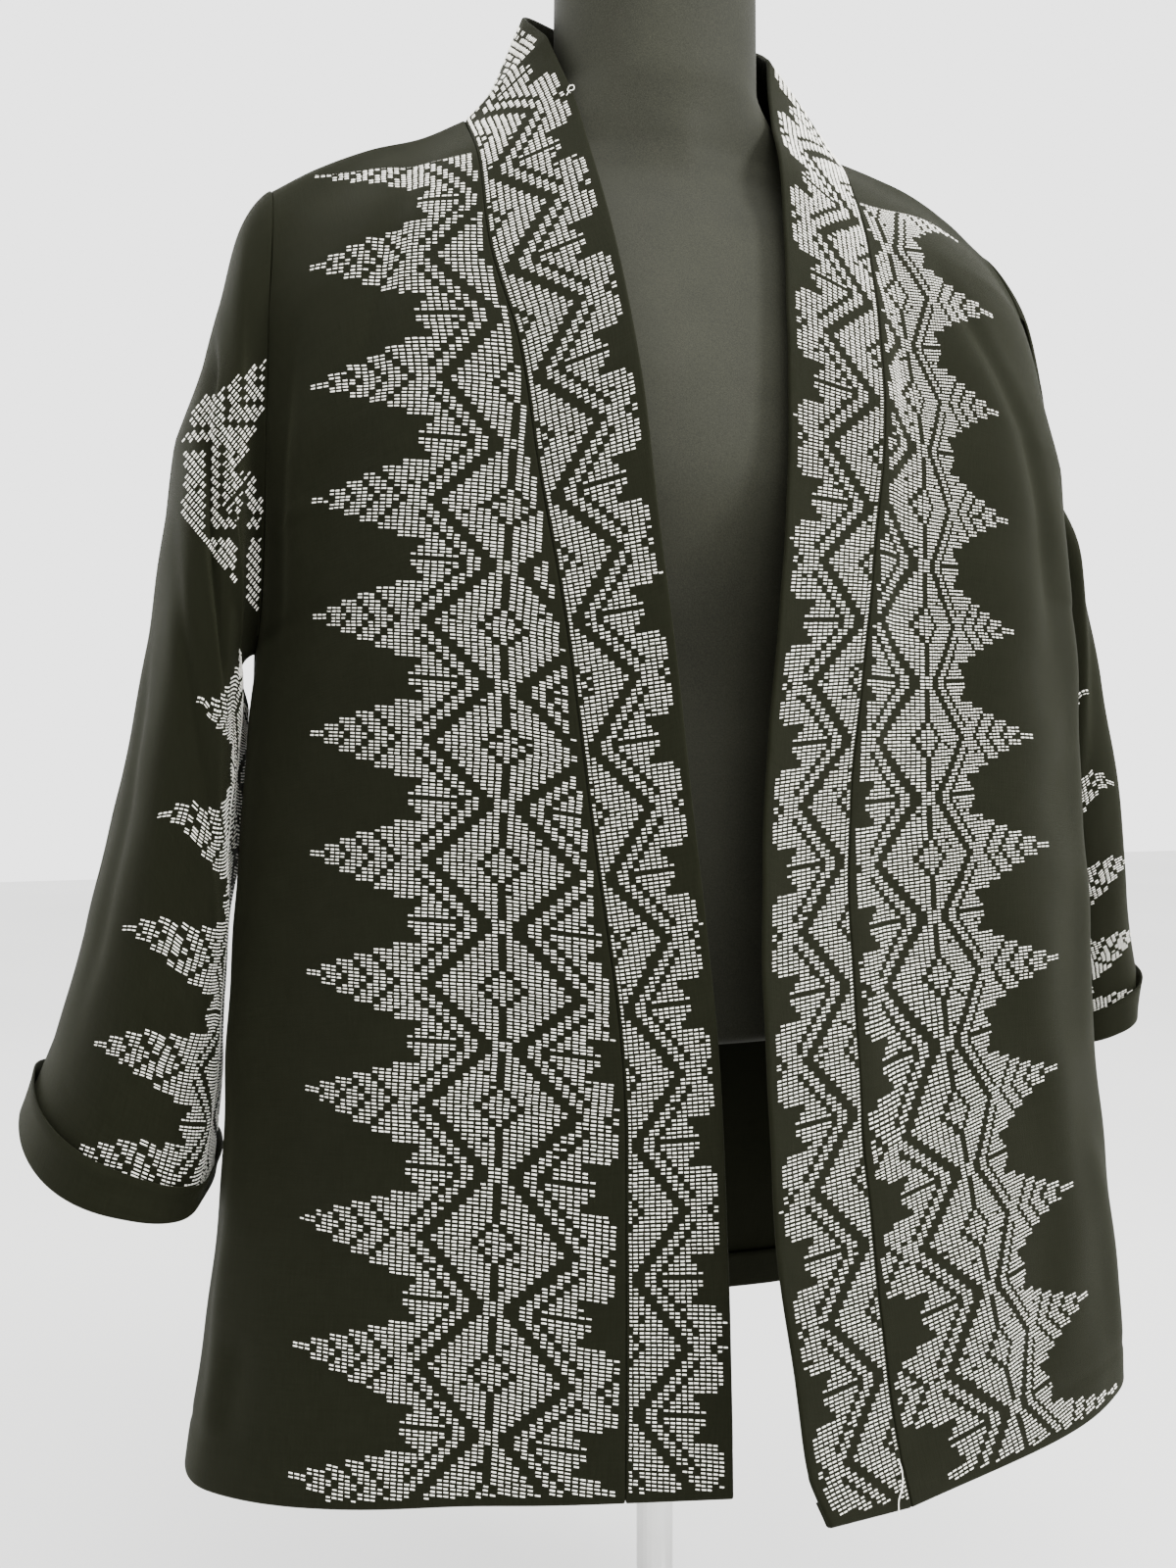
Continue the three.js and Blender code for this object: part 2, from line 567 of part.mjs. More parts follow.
// The torso and neck: flattened rings, closed below and above.
function torso() {
  const rings = [];
  const first = FORM_SECTIONS[0];
  const bottom = { ...first, z: first.z - FORM_EDGE, inset: FORM_EDGE };
  for (const section of [bottom, ...FORM_SECTIONS]) {
    const ring = [];
    for (let side = 0; side < FORM_SIDES; side += 1) {
      const turn = (2 * Math.PI * side) / FORM_SIDES;
      const inset = section.inset ?? 0;
      const depth = (Math.sin(turn) < 0 ? section.front : section.back) - inset;
      const rounded = (value) => Math.sign(value) * Math.abs(value) ** (2 / section.power);
      ring.push(new THREE.Vector3(
        (section.halfWidth - inset) * rounded(Math.cos(turn)),
        depth * rounded(Math.sin(turn)),
        section.z,
      ));
    }
    rings.push(ring);
  }
  const positions = rings.flat().flatMap((point) => point.toArray());
  const faces = [];
  for (let ring = 0; ring < rings.length - 1; ring += 1) {
    for (let side = 0; side < FORM_SIDES; side += 1) {
      const a = ring * FORM_SIDES + side;
      const b = ring * FORM_SIDES + ((side + 1) % FORM_SIDES);
      faces.push(a, b, b + FORM_SIDES, a, b + FORM_SIDES, a + FORM_SIDES);
    }
  }
  const lowCentre = positions.length / 3;
  positions.push(0, 0, rings[0][0].z);
  const highCentre = lowCentre + 1;
  positions.push(0, 0, rings[rings.length - 1][0].z);
  const topStart = (rings.length - 1) * FORM_SIDES;
  for (let side = 0; side < FORM_SIDES; side += 1) {
    const next = (side + 1) % FORM_SIDES;
    faces.push(lowCentre, next, side);
    faces.push(highCentre, topStart + side, topStart + next);
  }
  const geometry = new THREE.BufferGeometry();
  geometry.setAttribute('position', new THREE.Float32BufferAttribute(positions, 3));
  geometry.setIndex(faces);
  return namedMesh('torso', geometry, FORM_COLOUR, 0.8, 0);
}

function stand() {
  const formBottom = FORM_SECTIONS[0].z - FORM_EDGE;
  const formTop = FORM_SECTIONS[FORM_SECTIONS.length - 1].z;
  const flangeTop = formBottom - SIT;
  const flangeBottom = flangeTop - FLANGE_HEIGHT;
  const postBottom = BASE_HEIGHT + SIT;
  const postTop = flangeBottom - SIT;
  const socketBottom = BASE_HEIGHT + SIT;
  const capBottom = formTop + SIT;
  return [
    turned('base', [
      [0, 0], [BASE_RADIUS, 0], [BASE_RADIUS, BASE_HEIGHT - BASE_EDGE], [BASE_RADIUS - BASE_EDGE, BASE_HEIGHT],
      [0, BASE_HEIGHT],
    ], 48, STEEL_COLOUR, 0.3, 1),
    turned('post', [[0, postBottom], [POST_RADIUS, postBottom], [POST_RADIUS, postTop], [0, postTop]],
      24, STEEL_COLOUR, 0.25, 1),
    turned('socket', [
      [POST_RADIUS + SIT, socketBottom], [SOCKET_RADIUS, socketBottom],
      [SOCKET_RADIUS, socketBottom + SOCKET_HEIGHT - 4], [SOCKET_RADIUS - 4, socketBottom + SOCKET_HEIGHT],
      [POST_RADIUS + SIT, socketBottom + SOCKET_HEIGHT], [POST_RADIUS + SIT, socketBottom],
    ], 24, STEEL_COLOUR, 0.3, 1),
    turned('flange', [[0, flangeBottom], [FLANGE_RADIUS, flangeBottom], [FLANGE_RADIUS, flangeTop], [0, flangeTop]],
      32, STEEL_COLOUR, 0.3, 1),
    turned('neck_cap', [
      [0, capBottom], [NECK_CAP_RADIUS, capBottom], [NECK_CAP_RADIUS, capBottom + NECK_CAP_HEIGHT - NECK_CAP_EDGE],
      [NECK_CAP_RADIUS - NECK_CAP_EDGE, capBottom + NECK_CAP_HEIGHT], [0, capBottom + NECK_CAP_HEIGHT],
    ], 36, CAP_COLOUR, 0.5, 0),
  ];
}

// ---------------------------------------------------------------- the whole part

const cloth = [
  backSheet(),
  frontSheet('right_front', RIGHT, RIGHT_BULGE),
  frontSheet('left_front', LEFT, LEFT_BULGE),
  sleeveSheet('right_sleeve', RIGHT, RIGHT_RINGS),
  sleeveSheet('left_sleeve', LEFT, LEFT_RINGS),
  bandSheet('right_band', RIGHT),
  bandSheet('left_band', LEFT),
];
sew(cloth);

const part = new THREE.Group();
part.add(...cloth.map((sheet) => sheet.mesh()), torso(), ...stand());

export default part;
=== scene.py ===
"""An open haori jacket of dense black cloth with woven white strips, resting on a dress form.

Lengths in the tables are millimetres, as a cutter writes them, and every mesh is in metres.
The front faces -Y and the wearer's right side is -X. The origin is under the stand.
"""

import logging
import math
from dataclasses import dataclass, field
from enum import Enum
from functools import cached_property
from typing import Callable, NamedTuple

import bpy
import numpy as np
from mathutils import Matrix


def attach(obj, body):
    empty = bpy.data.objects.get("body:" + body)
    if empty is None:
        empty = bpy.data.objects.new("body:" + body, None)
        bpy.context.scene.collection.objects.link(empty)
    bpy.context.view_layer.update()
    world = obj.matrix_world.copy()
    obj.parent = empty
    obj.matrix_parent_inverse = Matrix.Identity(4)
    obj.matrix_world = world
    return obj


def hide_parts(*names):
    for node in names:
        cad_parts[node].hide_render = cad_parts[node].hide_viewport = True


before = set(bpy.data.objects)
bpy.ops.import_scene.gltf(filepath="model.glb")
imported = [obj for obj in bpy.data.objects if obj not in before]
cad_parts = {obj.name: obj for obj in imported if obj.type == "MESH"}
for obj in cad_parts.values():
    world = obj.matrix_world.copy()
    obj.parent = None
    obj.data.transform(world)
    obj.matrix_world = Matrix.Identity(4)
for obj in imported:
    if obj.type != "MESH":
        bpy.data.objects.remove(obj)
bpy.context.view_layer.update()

LOG = logging.getLogger("haori")
Array = np.ndarray
MM = 0.001
BODY = "root"

# ---------------------------------------------------------------- driving sizes, in millimetres

HEM_HEIGHT = 220
ARMHOLE_SHARE = 0.376  # how far down the side the sleeve reaches
ARMHOLE_HALF_DEPTH = 44
ARMHOLE_LEAVE = 0.16  # share of the sleeve over which the armhole's outline fades
ARMHOLE_PUSH = 125
RING_SQUARENESS = 0.8
RIDGE_FADE = 0.14
FOLD_FADE = 0.14
FOLD_EDGE = 0.08
NECK_SHARE = 0.5  # half of the neck line belongs to each band

CLOTH_WALL = 1.1
SEAM_ROLL = 0.45  # radius over which a sewn edge turns in
SEAM_TRIM = 1.15  # how far a sewn edge's middle line stops short of the seam
HEM_ROLL = 0.95
STITCH_WIDTH = 3.0  # width of the dimple along a stitched hem
STITCH_DEPTH = 0.55
HEM_DEPTH = 22
CUFF_DEPTH = 19
THREAD_RADIUS = 0.28
THREAD_STEPS = 40
THREAD_SHADE = 0.6
CUFF_FLARE = 2.4
GRID_STEP = 3.6  # spacing of the cloth's points

WARP_PITCH = 3.65  # one column of white floats
PAIRS = 17  # pairs of weft rows in one repeat
ROWS = 2 * PAIRS
STRIP_REACH = 30  # columns from the strip's middle to the tip of a tooth


class Side(Enum):
    """The wearer's two sides, with the sign of x on each."""

    RIGHT = -1
    LEFT = 1


class Held(Enum):
    """How a piece of cloth is held up."""

    DRAPED = "draped"
    HUNG = "hung"


class Rim(Enum):
    """How an edge of a piece of cloth is finished."""

    SEWN = "turned in at a seam"
    HEM = "folded under and stitched"
    CUFF = "folded over to the outside"
    DOUBLE = "folded back as a second layer"


class Slot(Enum):
    """Material slots of the record."""

    CLOTH = "black_cloth"
    BAND = "band_cloth"
    WEFT = "white_weft"
    SKIN = "form_skin"
    CAP = "form_cap"
    STEEL = "stand_metal"


class Bulge(NamedTuple):
    """Turn (degrees) and pull of a front's row at the band seam and at the side."""

    along: float
    seam_turn: float
    seam_pull: float
    edge_turn: float
    edge_pull: float


class Fold(NamedTuple):
    """A large hanging fold: place and width as shares of the piece, depth in millimetres."""

    at: float
    width: float
    depth: float
    start: float
    end: float


class Crease(NamedTuple):
    """A soft trough (depth below 0) or ridge between two places (along, across) on a piece."""

    start: tuple[float, float]
    end: tuple[float, float]
    width: float
    depth: float


class Ring(NamedTuple):
    """One ring of a sleeve, in millimetres."""

    along: float
    out_x: float
    out_z: float
    under_x: float
    under_z: float
    middle_y: float
    half_depth: float
    droop: float


class Tooth(NamedTuple):
    """Where one repeat of a strip lies: the tip of its tooth and the strip's middle line."""

    tip_along: float
    tip_offset: float
    middle_along: float
    middle_offset: float


class SleeveTooth(NamedTuple):
    """One tooth on a sleeve: its tip, and two places further in on the same weft row."""

    tip_along: float
    tip_turn: float
    half_along: float
    half_turn: float
    inner_along: float
    inner_turn: float
    pitch: float


class Loose(NamedTuple):
    """A loose end of thread on a piece: its root, and its path (across, down, out) in millimetres."""

    sheet: str
    along: float
    across: float
    path: tuple


class Section(NamedTuple):
    """One level of the dress form. A power below 2 draws its oval in towards the shoulders."""

    height: float
    half_width: float
    front: float
    back: float
    power: float


# ---------------------------------------------------------------- arrays and curves


def smooth(low: float, high: float, value: Array) -> Array:
    """Smooth step from 0 at low to 1 at high: 3t^2 - 2t^3."""
    share = np.clip((np.asarray(value, float) - low) / (high - low), 0, 1)
    return share * share * (3 - 2 * share)


def unit(vectors: Array) -> Array:
    """Vectors of length one."""
    return vectors / np.maximum(np.linalg.norm(vectors, axis=-1, keepdims=True), 1e-12)


def column(table: tuple, name: str, along: Array) -> Array:
    """Value of a named column of a table at shares of the length, on straight lines between rows."""
    return np.interp(along, [row.along for row in table], [getattr(row, name) for row in table])


def spun(vectors: Array, degrees: Array) -> Array:
    """Vectors turned about the upright axis, their height set to nought."""
    turn = np.radians(degrees)
    x, y = vectors[..., 0], vectors[..., 1]
    return np.stack([x * np.cos(turn) - y * np.sin(turn), x * np.sin(turn) + y * np.cos(turn), 0 * x], -1)


class CurveLine:
    """A centripetal curve through points, read by its share of length.

    Each span is a cubic whose end slopes come from the chords' square-root lengths.
    """

    SAMPLES = 420

    def __init__(self, points: list) -> None:
        """Sample the curve.

        Args:
            points: (x, y, z) in millimetres, from one end to the other.
        """
        knots = np.asarray(points, float)
        padded = np.vstack([2 * knots[0] - knots[1], knots, 2 * knots[-1] - knots[-2]])
        spans = len(knots) - 1
        place = np.linspace(0, spans, self.SAMPLES + 1)
        span = np.minimum(place.astype(int), spans - 1)
        t = (place - span)[:, None]
        before, first, second, after = (padded[span + step] for step in range(4))
        gaps = [np.sqrt(np.linalg.norm(b - a, axis=1))[:, None]
                for a, b in ((before, first), (first, second), (second, after))]
        lead = ((first - before) / gaps[0] - (second - before) / (gaps[0] + gaps[1])
                + (second - first) / gaps[1]) * gaps[1]
        tail = ((second - first) / gaps[1] - (after - first) / (gaps[1] + gaps[2])
                + (after - second) / gaps[2]) * gaps[1]
        self.points = ((2 * t**3 - 3 * t**2 + 1) * first + (t**3 - 2 * t**2 + t) * lead
                       + (3 * t**2 - 2 * t**3) * second + (t**3 - t**2) * tail)
        steps = np.linalg.norm(np.diff(self.points, axis=0), axis=1)
        self.shares = np.concatenate([[0], np.cumsum(steps)]) / steps.sum()

    def at(self, share: Array) -> Array:
        """Points at shares of the curve's length."""
        share = np.asarray(share, float)
        return np.stack([np.interp(share, self.shares, self.points[:, axis]) for axis in range(3)], -1)


def armhole_swing(along: Array) -> Array:
    """How far the armhole's oval swings from the side's middle line: half an ellipse."""
    turn = np.arccos(1 - 2 * np.clip(along / ARMHOLE_SHARE, 0, 1))
    return ARMHOLE_HALF_DEPTH * np.sin(turn)


def panel_swing(along: Array) -> Array:
    """The softer swing that the middle of a panel follows."""
    share = along / ARMHOLE_SHARE
    return 0.85 * ARMHOLE_HALF_DEPTH * smooth(0, 0.35, share) * (1 - smooth(0.45, 1.5, share))


# ---------------------------------------------------------------- the cut edges of the jacket


@dataclass(frozen=True)
class HalfEdges:
    """The edges of one half of the jacket, each from the shoulder to the hem."""

    side: Side
    ridge: tuple
    seam: tuple
    opening: tuple
    edge: tuple

    @cached_property
    def lines(self) -> dict[str, CurveLine]:
        """The four edges as curves."""
        return {name: CurveLine(getattr(self, name)) for name in ("ridge", "seam", "opening", "edge")}

    def side_edge(self, along: Array, swing: Array) -> Array:
        """The side edge, swung forward (below 0) or back."""
        points = self.lines["edge"].at(along)
        points[..., 1] += swing
        return points


RIGHT = HalfEdges(
    side=Side.RIGHT,
    ridge=((-118, 0, 957), (-143, 4, 945), (-172, 6, 936), (-203, 9, 922), (-228, 12, 907)),
    seam=((-118, 0, 957), (-121, -45, 920), (-122, -75, 862), (-112, -98, 804), (-106, -114, 736),
          (-98, -131, 664), (-87, -145, 550), (-76, -158, 439), (-75, -161, 340),
          (-76, -163, HEM_HEIGHT + 2)),
    opening=((-72, -9, 1008), (-65, -40, 962), (-62, -64, 921), (-59, -94, 867), (-55, -125, 787),
             (-52, -141, 714), (-46, -153, 634), (-42, -160, 574), (-35, -165, 501), (-30, -169, 438),
             (-26, -174, 300), (-25, -175, HEM_HEIGHT + 2)),
    edge=((-228, 12, 907), (-232, 16, 846), (-234, 20, 776), (-235, 24, 648), (-240, 20, 510),
          (-252, 6, 352), (-273, -14, HEM_HEIGHT - 4)),
)
LEFT = HalfEdges(
    side=Side.LEFT,
    ridge=((122, -3, 958), (148, 2, 954), (176, 4, 946), (204, 7, 932), (226, 10, 913)),
    seam=((122, -3, 958), (110, -47, 922), (107, -70, 886), (100, -96, 833), (89, -123, 760), (81, -131, 721),
          (72, -139, 678), (63, -145, 625), (55, -150, 573), (49, -158, 522), (49, -163, 472),
          (48, -174, 399), (48, -184, 352), (51, -190, 305), (55, -194, 260), (62, -199, HEM_HEIGHT - 4)),
    opening=((75, -3, 1016), (63, -35, 966), (57, -57, 940), (48, -86, 878), (37, -114, 812), (27, -135, 739),
             (15, -152, 675), (6, -160, 614), (-2, -168, 560), (-8, -181, 478), (-9, -191, 408),
             (-9, -200, 339), (-3, -205, 293), (2, -210, 245), (11, -214, HEM_HEIGHT + 1)),
    edge=((226, 10, 913), (241, 12, 862), (249, 16, 790), (250, 20, 660), (248, 18, 520), (251, 6, 360),
          (254, -8, HEM_HEIGHT + 17)),
)
NECK_SEAM = ((-118, 0, 957), (-96, 44, 968), (0, 80, 977), (96, 44, 969), (122, -3, 958))
NECK_TOP = ((-72, -9, 1008), (-75, 27, 1034), (0, 73, 1041), (75, 29, 1034), (75, -3, 1016))
BACK_MIDDLE = ((0, 80, 977), (0, 98, 925), (0, 107, 850), (0, 109, 700), (0, 106, 500), (0, 108, 350),
               (0, 112, HEM_HEIGHT))

RIGHT_BULGE = (
    Bulge(0.0, 0, 0.33, 0, 0.33), Bulge(0.1, 14, 0.36, 30, 0.36), Bulge(0.25, 28, 0.4, 48, 0.36),
    Bulge(0.38, 32, 0.4, 50, 0.34), Bulge(0.6, 28, 0.45, 64, 0.34), Bulge(0.8, 24, 0.5, 68, 0.36),
    Bulge(1.0, 22, 0.53, 70, 0.38),
)
LEFT_BULGE = (
    Bulge(0.0, 0, 0.33, 0, 0.33), Bulge(0.1, 12, 0.4, 42, 0.44), Bulge(0.25, 25, 0.46, 60, 0.48),
    Bulge(0.38, 28, 0.48, 58, 0.54), Bulge(0.6, 30, 0.52, 57, 0.57), Bulge(0.8, 31, 0.54, 55, 0.55),
    Bulge(1.0, 29, 0.48, 54, 0.58),
)
RIGHT_RINGS = (
    Ring(0.1, 249, 866, 247, 626, 13, 52, 0), Ring(0.24, 265, 808, 247, 602, 15, 59, 2),
    Ring(0.33, 280, 764, 247, 580, 18, 63, 3), Ring(0.42, 284, 725, 247, 556, 20, 66, 4),
    Ring(0.55, 294, 655, 248, 512, 24, 70, 5), Ring(0.7, 309, 572, 250, 458, 28, 73, 7),
    Ring(0.84, 328, 488, 253, 408, 30, 76, 9), Ring(0.94, 345, 428, 256, 378, 31, 79, 16),
    Ring(1.0, 361, 388, 259, 358, 31, 84, 21),
)
LEFT_RINGS = (
    Ring(0.1, 249, 872, 260, 638, 20, 50, 0), Ring(0.24, 264, 812, 261, 614, 28, 56, 2),
    Ring(0.33, 277, 768, 261, 594, 31, 60, 3), Ring(0.42, 289, 728, 260, 570, 33, 64, 4),
    Ring(0.55, 305, 660, 260, 530, 35, 68, 5), Ring(0.7, 320, 580, 261, 480, 36, 71, 6),
    Ring(0.84, 330, 508, 262, 438, 36, 74, 7), Ring(0.94, 337, 458, 262, 420, 36, 76, 6),
    Ring(1.0, 334, 426, 262, 404, 36, 78, 6),
)

FOLDS: dict[str, tuple[Fold, ...]] = {
    "left_front": (Fold(0.13, 0.11, -8, 0.1, 0.85), Fold(0.34, 0.12, 5, 0.1, 0.95),
                   Fold(0.68, 0.1, 4, 0.3, 1.1), Fold(0.82, 0.09, -5, 0.3, 1.1)),
    "right_front": (Fold(0.22, 0.1, -4, 0.45, 1.1), Fold(0.62, 0.12, -5, 0.15, 0.9),
                    Fold(0.8, 0.1, 4, 0.3, 1.1)),
    "back_panel": (Fold(0.2, 0.07, 7, 0.3, 1.1), Fold(0.36, 0.07, -8, 0.35, 1.1),
                   Fold(0.62, 0.08, -9, 0.3, 1.1), Fold(0.78, 0.07, 7, 0.35, 1.1)),
    "right_sleeve": (Fold(0.36, 0.06, -9, 0.1, 0.62), Fold(0.16, 0.05, 5, 0.2, 0.8),
                     Fold(0.64, 0.06, -9, 0.1, 0.7), Fold(0.84, 0.05, 5, 0.25, 0.9)),
    "left_sleeve": (Fold(0.36, 0.06, -8, 0.1, 0.6), Fold(0.14, 0.05, 5, 0.25, 0.85),
                    Fold(0.64, 0.06, -9, 0.1, 0.7)),
}

CREASES: dict[str, tuple[Crease, ...]] = {
    "right_front": (
        Crease((0.3, 0.62), (0.295, 0.84), 4.2, 1.3),
        Crease((0.04, 0.3), (0.3, 0.5), 16, -3.2),
        Crease((0.16, 0.86), (0.44, 0.72), 14, -3.8),
        Crease((0.4, 0.9), (0.8, 0.7), 17, 2.9),
        Crease((0.5, 0.5), (0.95, 0.42), 20, -2.3),
        Crease((0.7, 0.76), (1.0, 0.8), 15, -2.9),
        Crease((0.9, 0.66), (0.965, 0.68), 11, -2.6),
    ),
    "left_front": (
        Crease((0.12, 0.3), (0.42, 0.5), 15, -3.5),
        Crease((0.3, 0.62), (0.75, 0.56), 18, 3.2),
        Crease((0.42, 0.8), (0.7, 0.7), 13, -2.6),
        Crease((0.6, 0.2), (0.96, 0.3), 17, -3.5),
        Crease((0.8, 0.5), (1.0, 0.6), 15, 3.2),
        Crease((0.86, 0.72), (1.0, 0.68), 12, -2.6),
    ),
    "back_panel": (
        Crease((0.34, 0.03), (0.68, 0.03), 15, 8.5),
        Crease((0.36, 0.97), (0.66, 0.97), 15, 5.0),
        Crease((0.1, 0.2), (0.4, 0.3), 18, -3.2),
        Crease((0.08, 0.78), (0.42, 0.68), 17, -2.9),
        Crease((0.35, 0.1), (0.6, 0.16), 15, -3.5),
        Crease((0.34, 0.9), (0.66, 0.84), 15, -3.2),
        Crease((0.3, 0.44), (0.9, 0.47), 20, 2.6),
        Crease((0.55, 0.56), (1.0, 0.53), 18, -2.5),
    ),
    "right_sleeve": (
        Crease((0.22, 0.02), (0.36, 0.3), 9, -4.9),
        Crease((0.3, 0.06), (0.2, 0.38), 10, 3.8),
        Crease((0.45, 0.1), (0.62, 0.34), 12, -2.3),
        Crease((0.55, 0.04), (0.9, 0.08), 13, -2.3),
        Crease((0.6, 0.3), (0.95, 0.27), 12, 2.2),
        Crease((0.2, 0.7), (0.5, 0.86), 13, -4.1),
        Crease((0.5, 0.6), (0.92, 0.72), 14, 3.2),
        Crease((0.08, 0.53), (0.58, 0.53), 19, 8.5),
        Crease((0.3, 0.43), (1.2, 0.36), 28, -4.8),
    ),
    "left_sleeve": (
        Crease((0.2, 0.04), (0.4, 0.26), 11, -4.1),
        Crease((0.34, 0.1), (0.6, 0.3), 12, 2.9),
        Crease((0.5, 0.06), (0.88, 0.1), 13, -2.6),
        Crease((0.2, 0.7), (0.52, 0.84), 13, -3.8),
        Crease((0.5, 0.6), (0.9, 0.7), 14, 2.9),
    ),
    "right_band": (
        Crease((0.345, 0.0), (0.335, 1.0), 3.0, 0.7),
        Crease((0.12, 0.1), (0.2, 0.9), 12, -0.8),
        Crease((0.6, 0.2), (0.66, 0.9), 14, 0.7),
    ),
    "left_band": (
        Crease((0.22, 0.0), (0.27, 0.9), 10, -0.8),
        Crease((0.48, 0.1), (0.55, 0.9), 13, 0.7),
        Crease((0.8, 0.0), (0.84, 0.9), 14, -0.8),
    ),
}

RIGHT_TEETH = (
    Tooth(0.010, 92, 0.080, -14), Tooth(0.1025, 104.4, 0.172, -6), Tooth(0.205, 113.1, 0.270, 3.6),
    Tooth(0.2938, 126.1, 0.352, 17), Tooth(0.3825, 139.9, 0.4325, 31), Tooth(0.4713, 149.7, 0.5112, 36.4),
    Tooth(0.56, 154.3, 0.5887, 46.9), Tooth(0.645, 162.8, 0.67, 55.3), Tooth(0.7263, 168.2, 0.7462, 62),
    Tooth(0.8137, 167.4, 0.835, 64), Tooth(0.8975, 166.1, 0.9175, 66), Tooth(0.981, 165, 1.0, 68),
    Tooth(1.066, 164, 1.083, 69),
)
LEFT_TEETH = (
    Tooth(0.045, 84, 0.078, 10), Tooth(0.14, 85.1, 0.1638, 18.1), Tooth(0.2461, 79, 0.2525, 28),
    Tooth(0.335, 87.3, 0.3375, 35), Tooth(0.42, 100.5, 0.4263, 45.9), Tooth(0.4963, 123.7, 0.5075, 54.9),
    Tooth(0.5775, 142.4, 0.5913, 60), Tooth(0.6625, 147.4, 0.6737, 63), Tooth(0.7425, 138.3, 0.7662, 67),
    Tooth(0.8287, 143.1, 0.8413, 69), Tooth(0.9113, 149, 0.925, 77), Tooth(0.994, 172, 1.008, 84),
    Tooth(1.08, 180, 1.09, 86),
)
LEFT_BUNCHING = 0.7  # how much closer together the columns lie inside the left front's dip
SLEEVE_TEETH = (
    SleeveTooth(0.2417, 0.2783, 0.125, 0.34, 0.0417, 0.3933, 4.4),
    SleeveTooth(0.4917, 0.2333, 0.41, 0.2967, 0.2433, 0.4458, 5.6),
    SleeveTooth(0.6633, 0.1833, 0.5967, 0.2583, 0.5033, 0.3875, 5.9),
    SleeveTooth(0.785, 0.1517, 0.7417, 0.2467, 0.675, 0.3633, 5.3),
    SleeveTooth(0.89, 0.1433, 0.86, 0.2417, 0.8283, 0.3367, 4.3),
    SleeveTooth(0.9717, 0.1467, 0.9617, 0.2433, 0.9683, 0.3317, 3.9),
    SleeveTooth(1.06, 0.15, 1.06, 0.245, 1.09, 0.33, 3.65),
)
SLEEVE_ROUND = 450  # millimetres round a sleeve, and along it
SLEEVE_LENGTH = 430

LOOSE_ENDS = (
    Loose("right_band", 0.185, 0.97, ((-1, 1, 0), (1.5, 0.5, 1.2), (4.4, 1.6, 1.6), (4.8, -1.4, 1.8),
                                      (2.4, -2.6, 1.6), (0.6, -0.6, 1.2), (1.6, 2.2, 1))),
    Loose("left_band", 0.975, 0.03, ((0, 0, 0), (0.6, 5, 1.3), (4, 12, 2.6), (9, 18, 3), (12, 26, 3.6))),
)

FORM_SECTIONS = (
    Section(436, 156, 104, 86, 2), Section(470, 160, 106, 92, 2), Section(520, 160, 104, 94, 2),
    Section(570, 144, 97, 84, 2), Section(620, 126, 92, 75, 2), Section(680, 136, 102, 82, 2),
    Section(740, 150, 117, 90, 2), Section(790, 162, 108, 93, 2), Section(835, 176, 92, 90, 2),
    Section(870, 186, 78, 80, 1.9), Section(895, 186, 68, 68, 1.7), Section(912, 180, 58, 62, 1.4),
    Section(926, 168, 54, 58, 1.1), Section(938, 146, 54, 56, 1.05), Section(948, 122, 55, 56, 1.15),
    Section(957, 96, 55, 58, 1.4), Section(967, 76, 56, 59, 1.7), Section(985, 62, 58, 60, 2),
    Section(1058, 61, 60, 60, 2),
)


# ---------------------------------------------------------------- meshes


def add_mesh(name: str, vertices: Array, faces: Array, material: bpy.types.Material) -> bpy.types.Object:
    """Make a smooth-shaded object from arrays.

    Args:
        name: The object's name.
        vertices: (n, 3) points in metres.
        faces: (m, k) corner numbers, k of 3 or 4.
        material: The finish of the whole piece.

    Returns:
        The object, linked to the scene.
    """
    mesh = bpy.data.meshes.new(name)
    count, corners = faces.shape
    mesh.vertices.add(len(vertices))
    mesh.vertices.foreach_set("co", np.ascontiguousarray(vertices, np.float32).ravel())
    mesh.loops.add(count * corners)
    mesh.loops.foreach_set("vertex_index", np.ascontiguousarray(faces, np.int32).ravel())
    mesh.polygons.add(count)
    mesh.polygons.foreach_set("loop_start", np.arange(count, dtype=np.int32) * corners)
    mesh.polygons.foreach_set("use_smooth", np.ones(count, bool))
    mesh.update(calc_edges=True)
    mesh.materials.append(material)
    piece = bpy.data.objects.new(name, mesh)
    bpy.context.scene.collection.objects.link(piece)
    return piece


def add_uv(piece: bpy.types.Object, faces: Array, flat: Array) -> None:
    """Give a piece a UV map of its own cloth coordinates.

    Args:
        piece: The object.
        faces: (m, k) corner numbers.
        flat: (n, 2) distances across and along the cloth, in metres, for each vertex.
    """
    layer = piece.data.uv_layers.new(name="Weave")
    layer.data.foreach_set("uv", np.ascontiguousarray(flat[faces.ravel()], np.float32).ravel())


def add_shade(piece: bpy.types.Object, name: str, values: Array) -> None:
    """Give a piece a number for each vertex, which its finish reads."""
    attribute = piece.data.attributes.new(name, "FLOAT", "POINT")
    attribute.data.foreach_set("value", np.ascontiguousarray(values, np.float32))


def grid_normals(points: Array, closed: bool, facing: int) -> Array:
    """Unit normals of a grid: (step across) x (step along), turned outwards by facing."""
    if closed:
        across = np.roll(points, -1, 1) - np.roll(points, 1, 1)
    else:
        across = np.gradient(points, axis=1)
    along = np.gradient(points, axis=0)
    return facing * unit(np.cross(across, along))


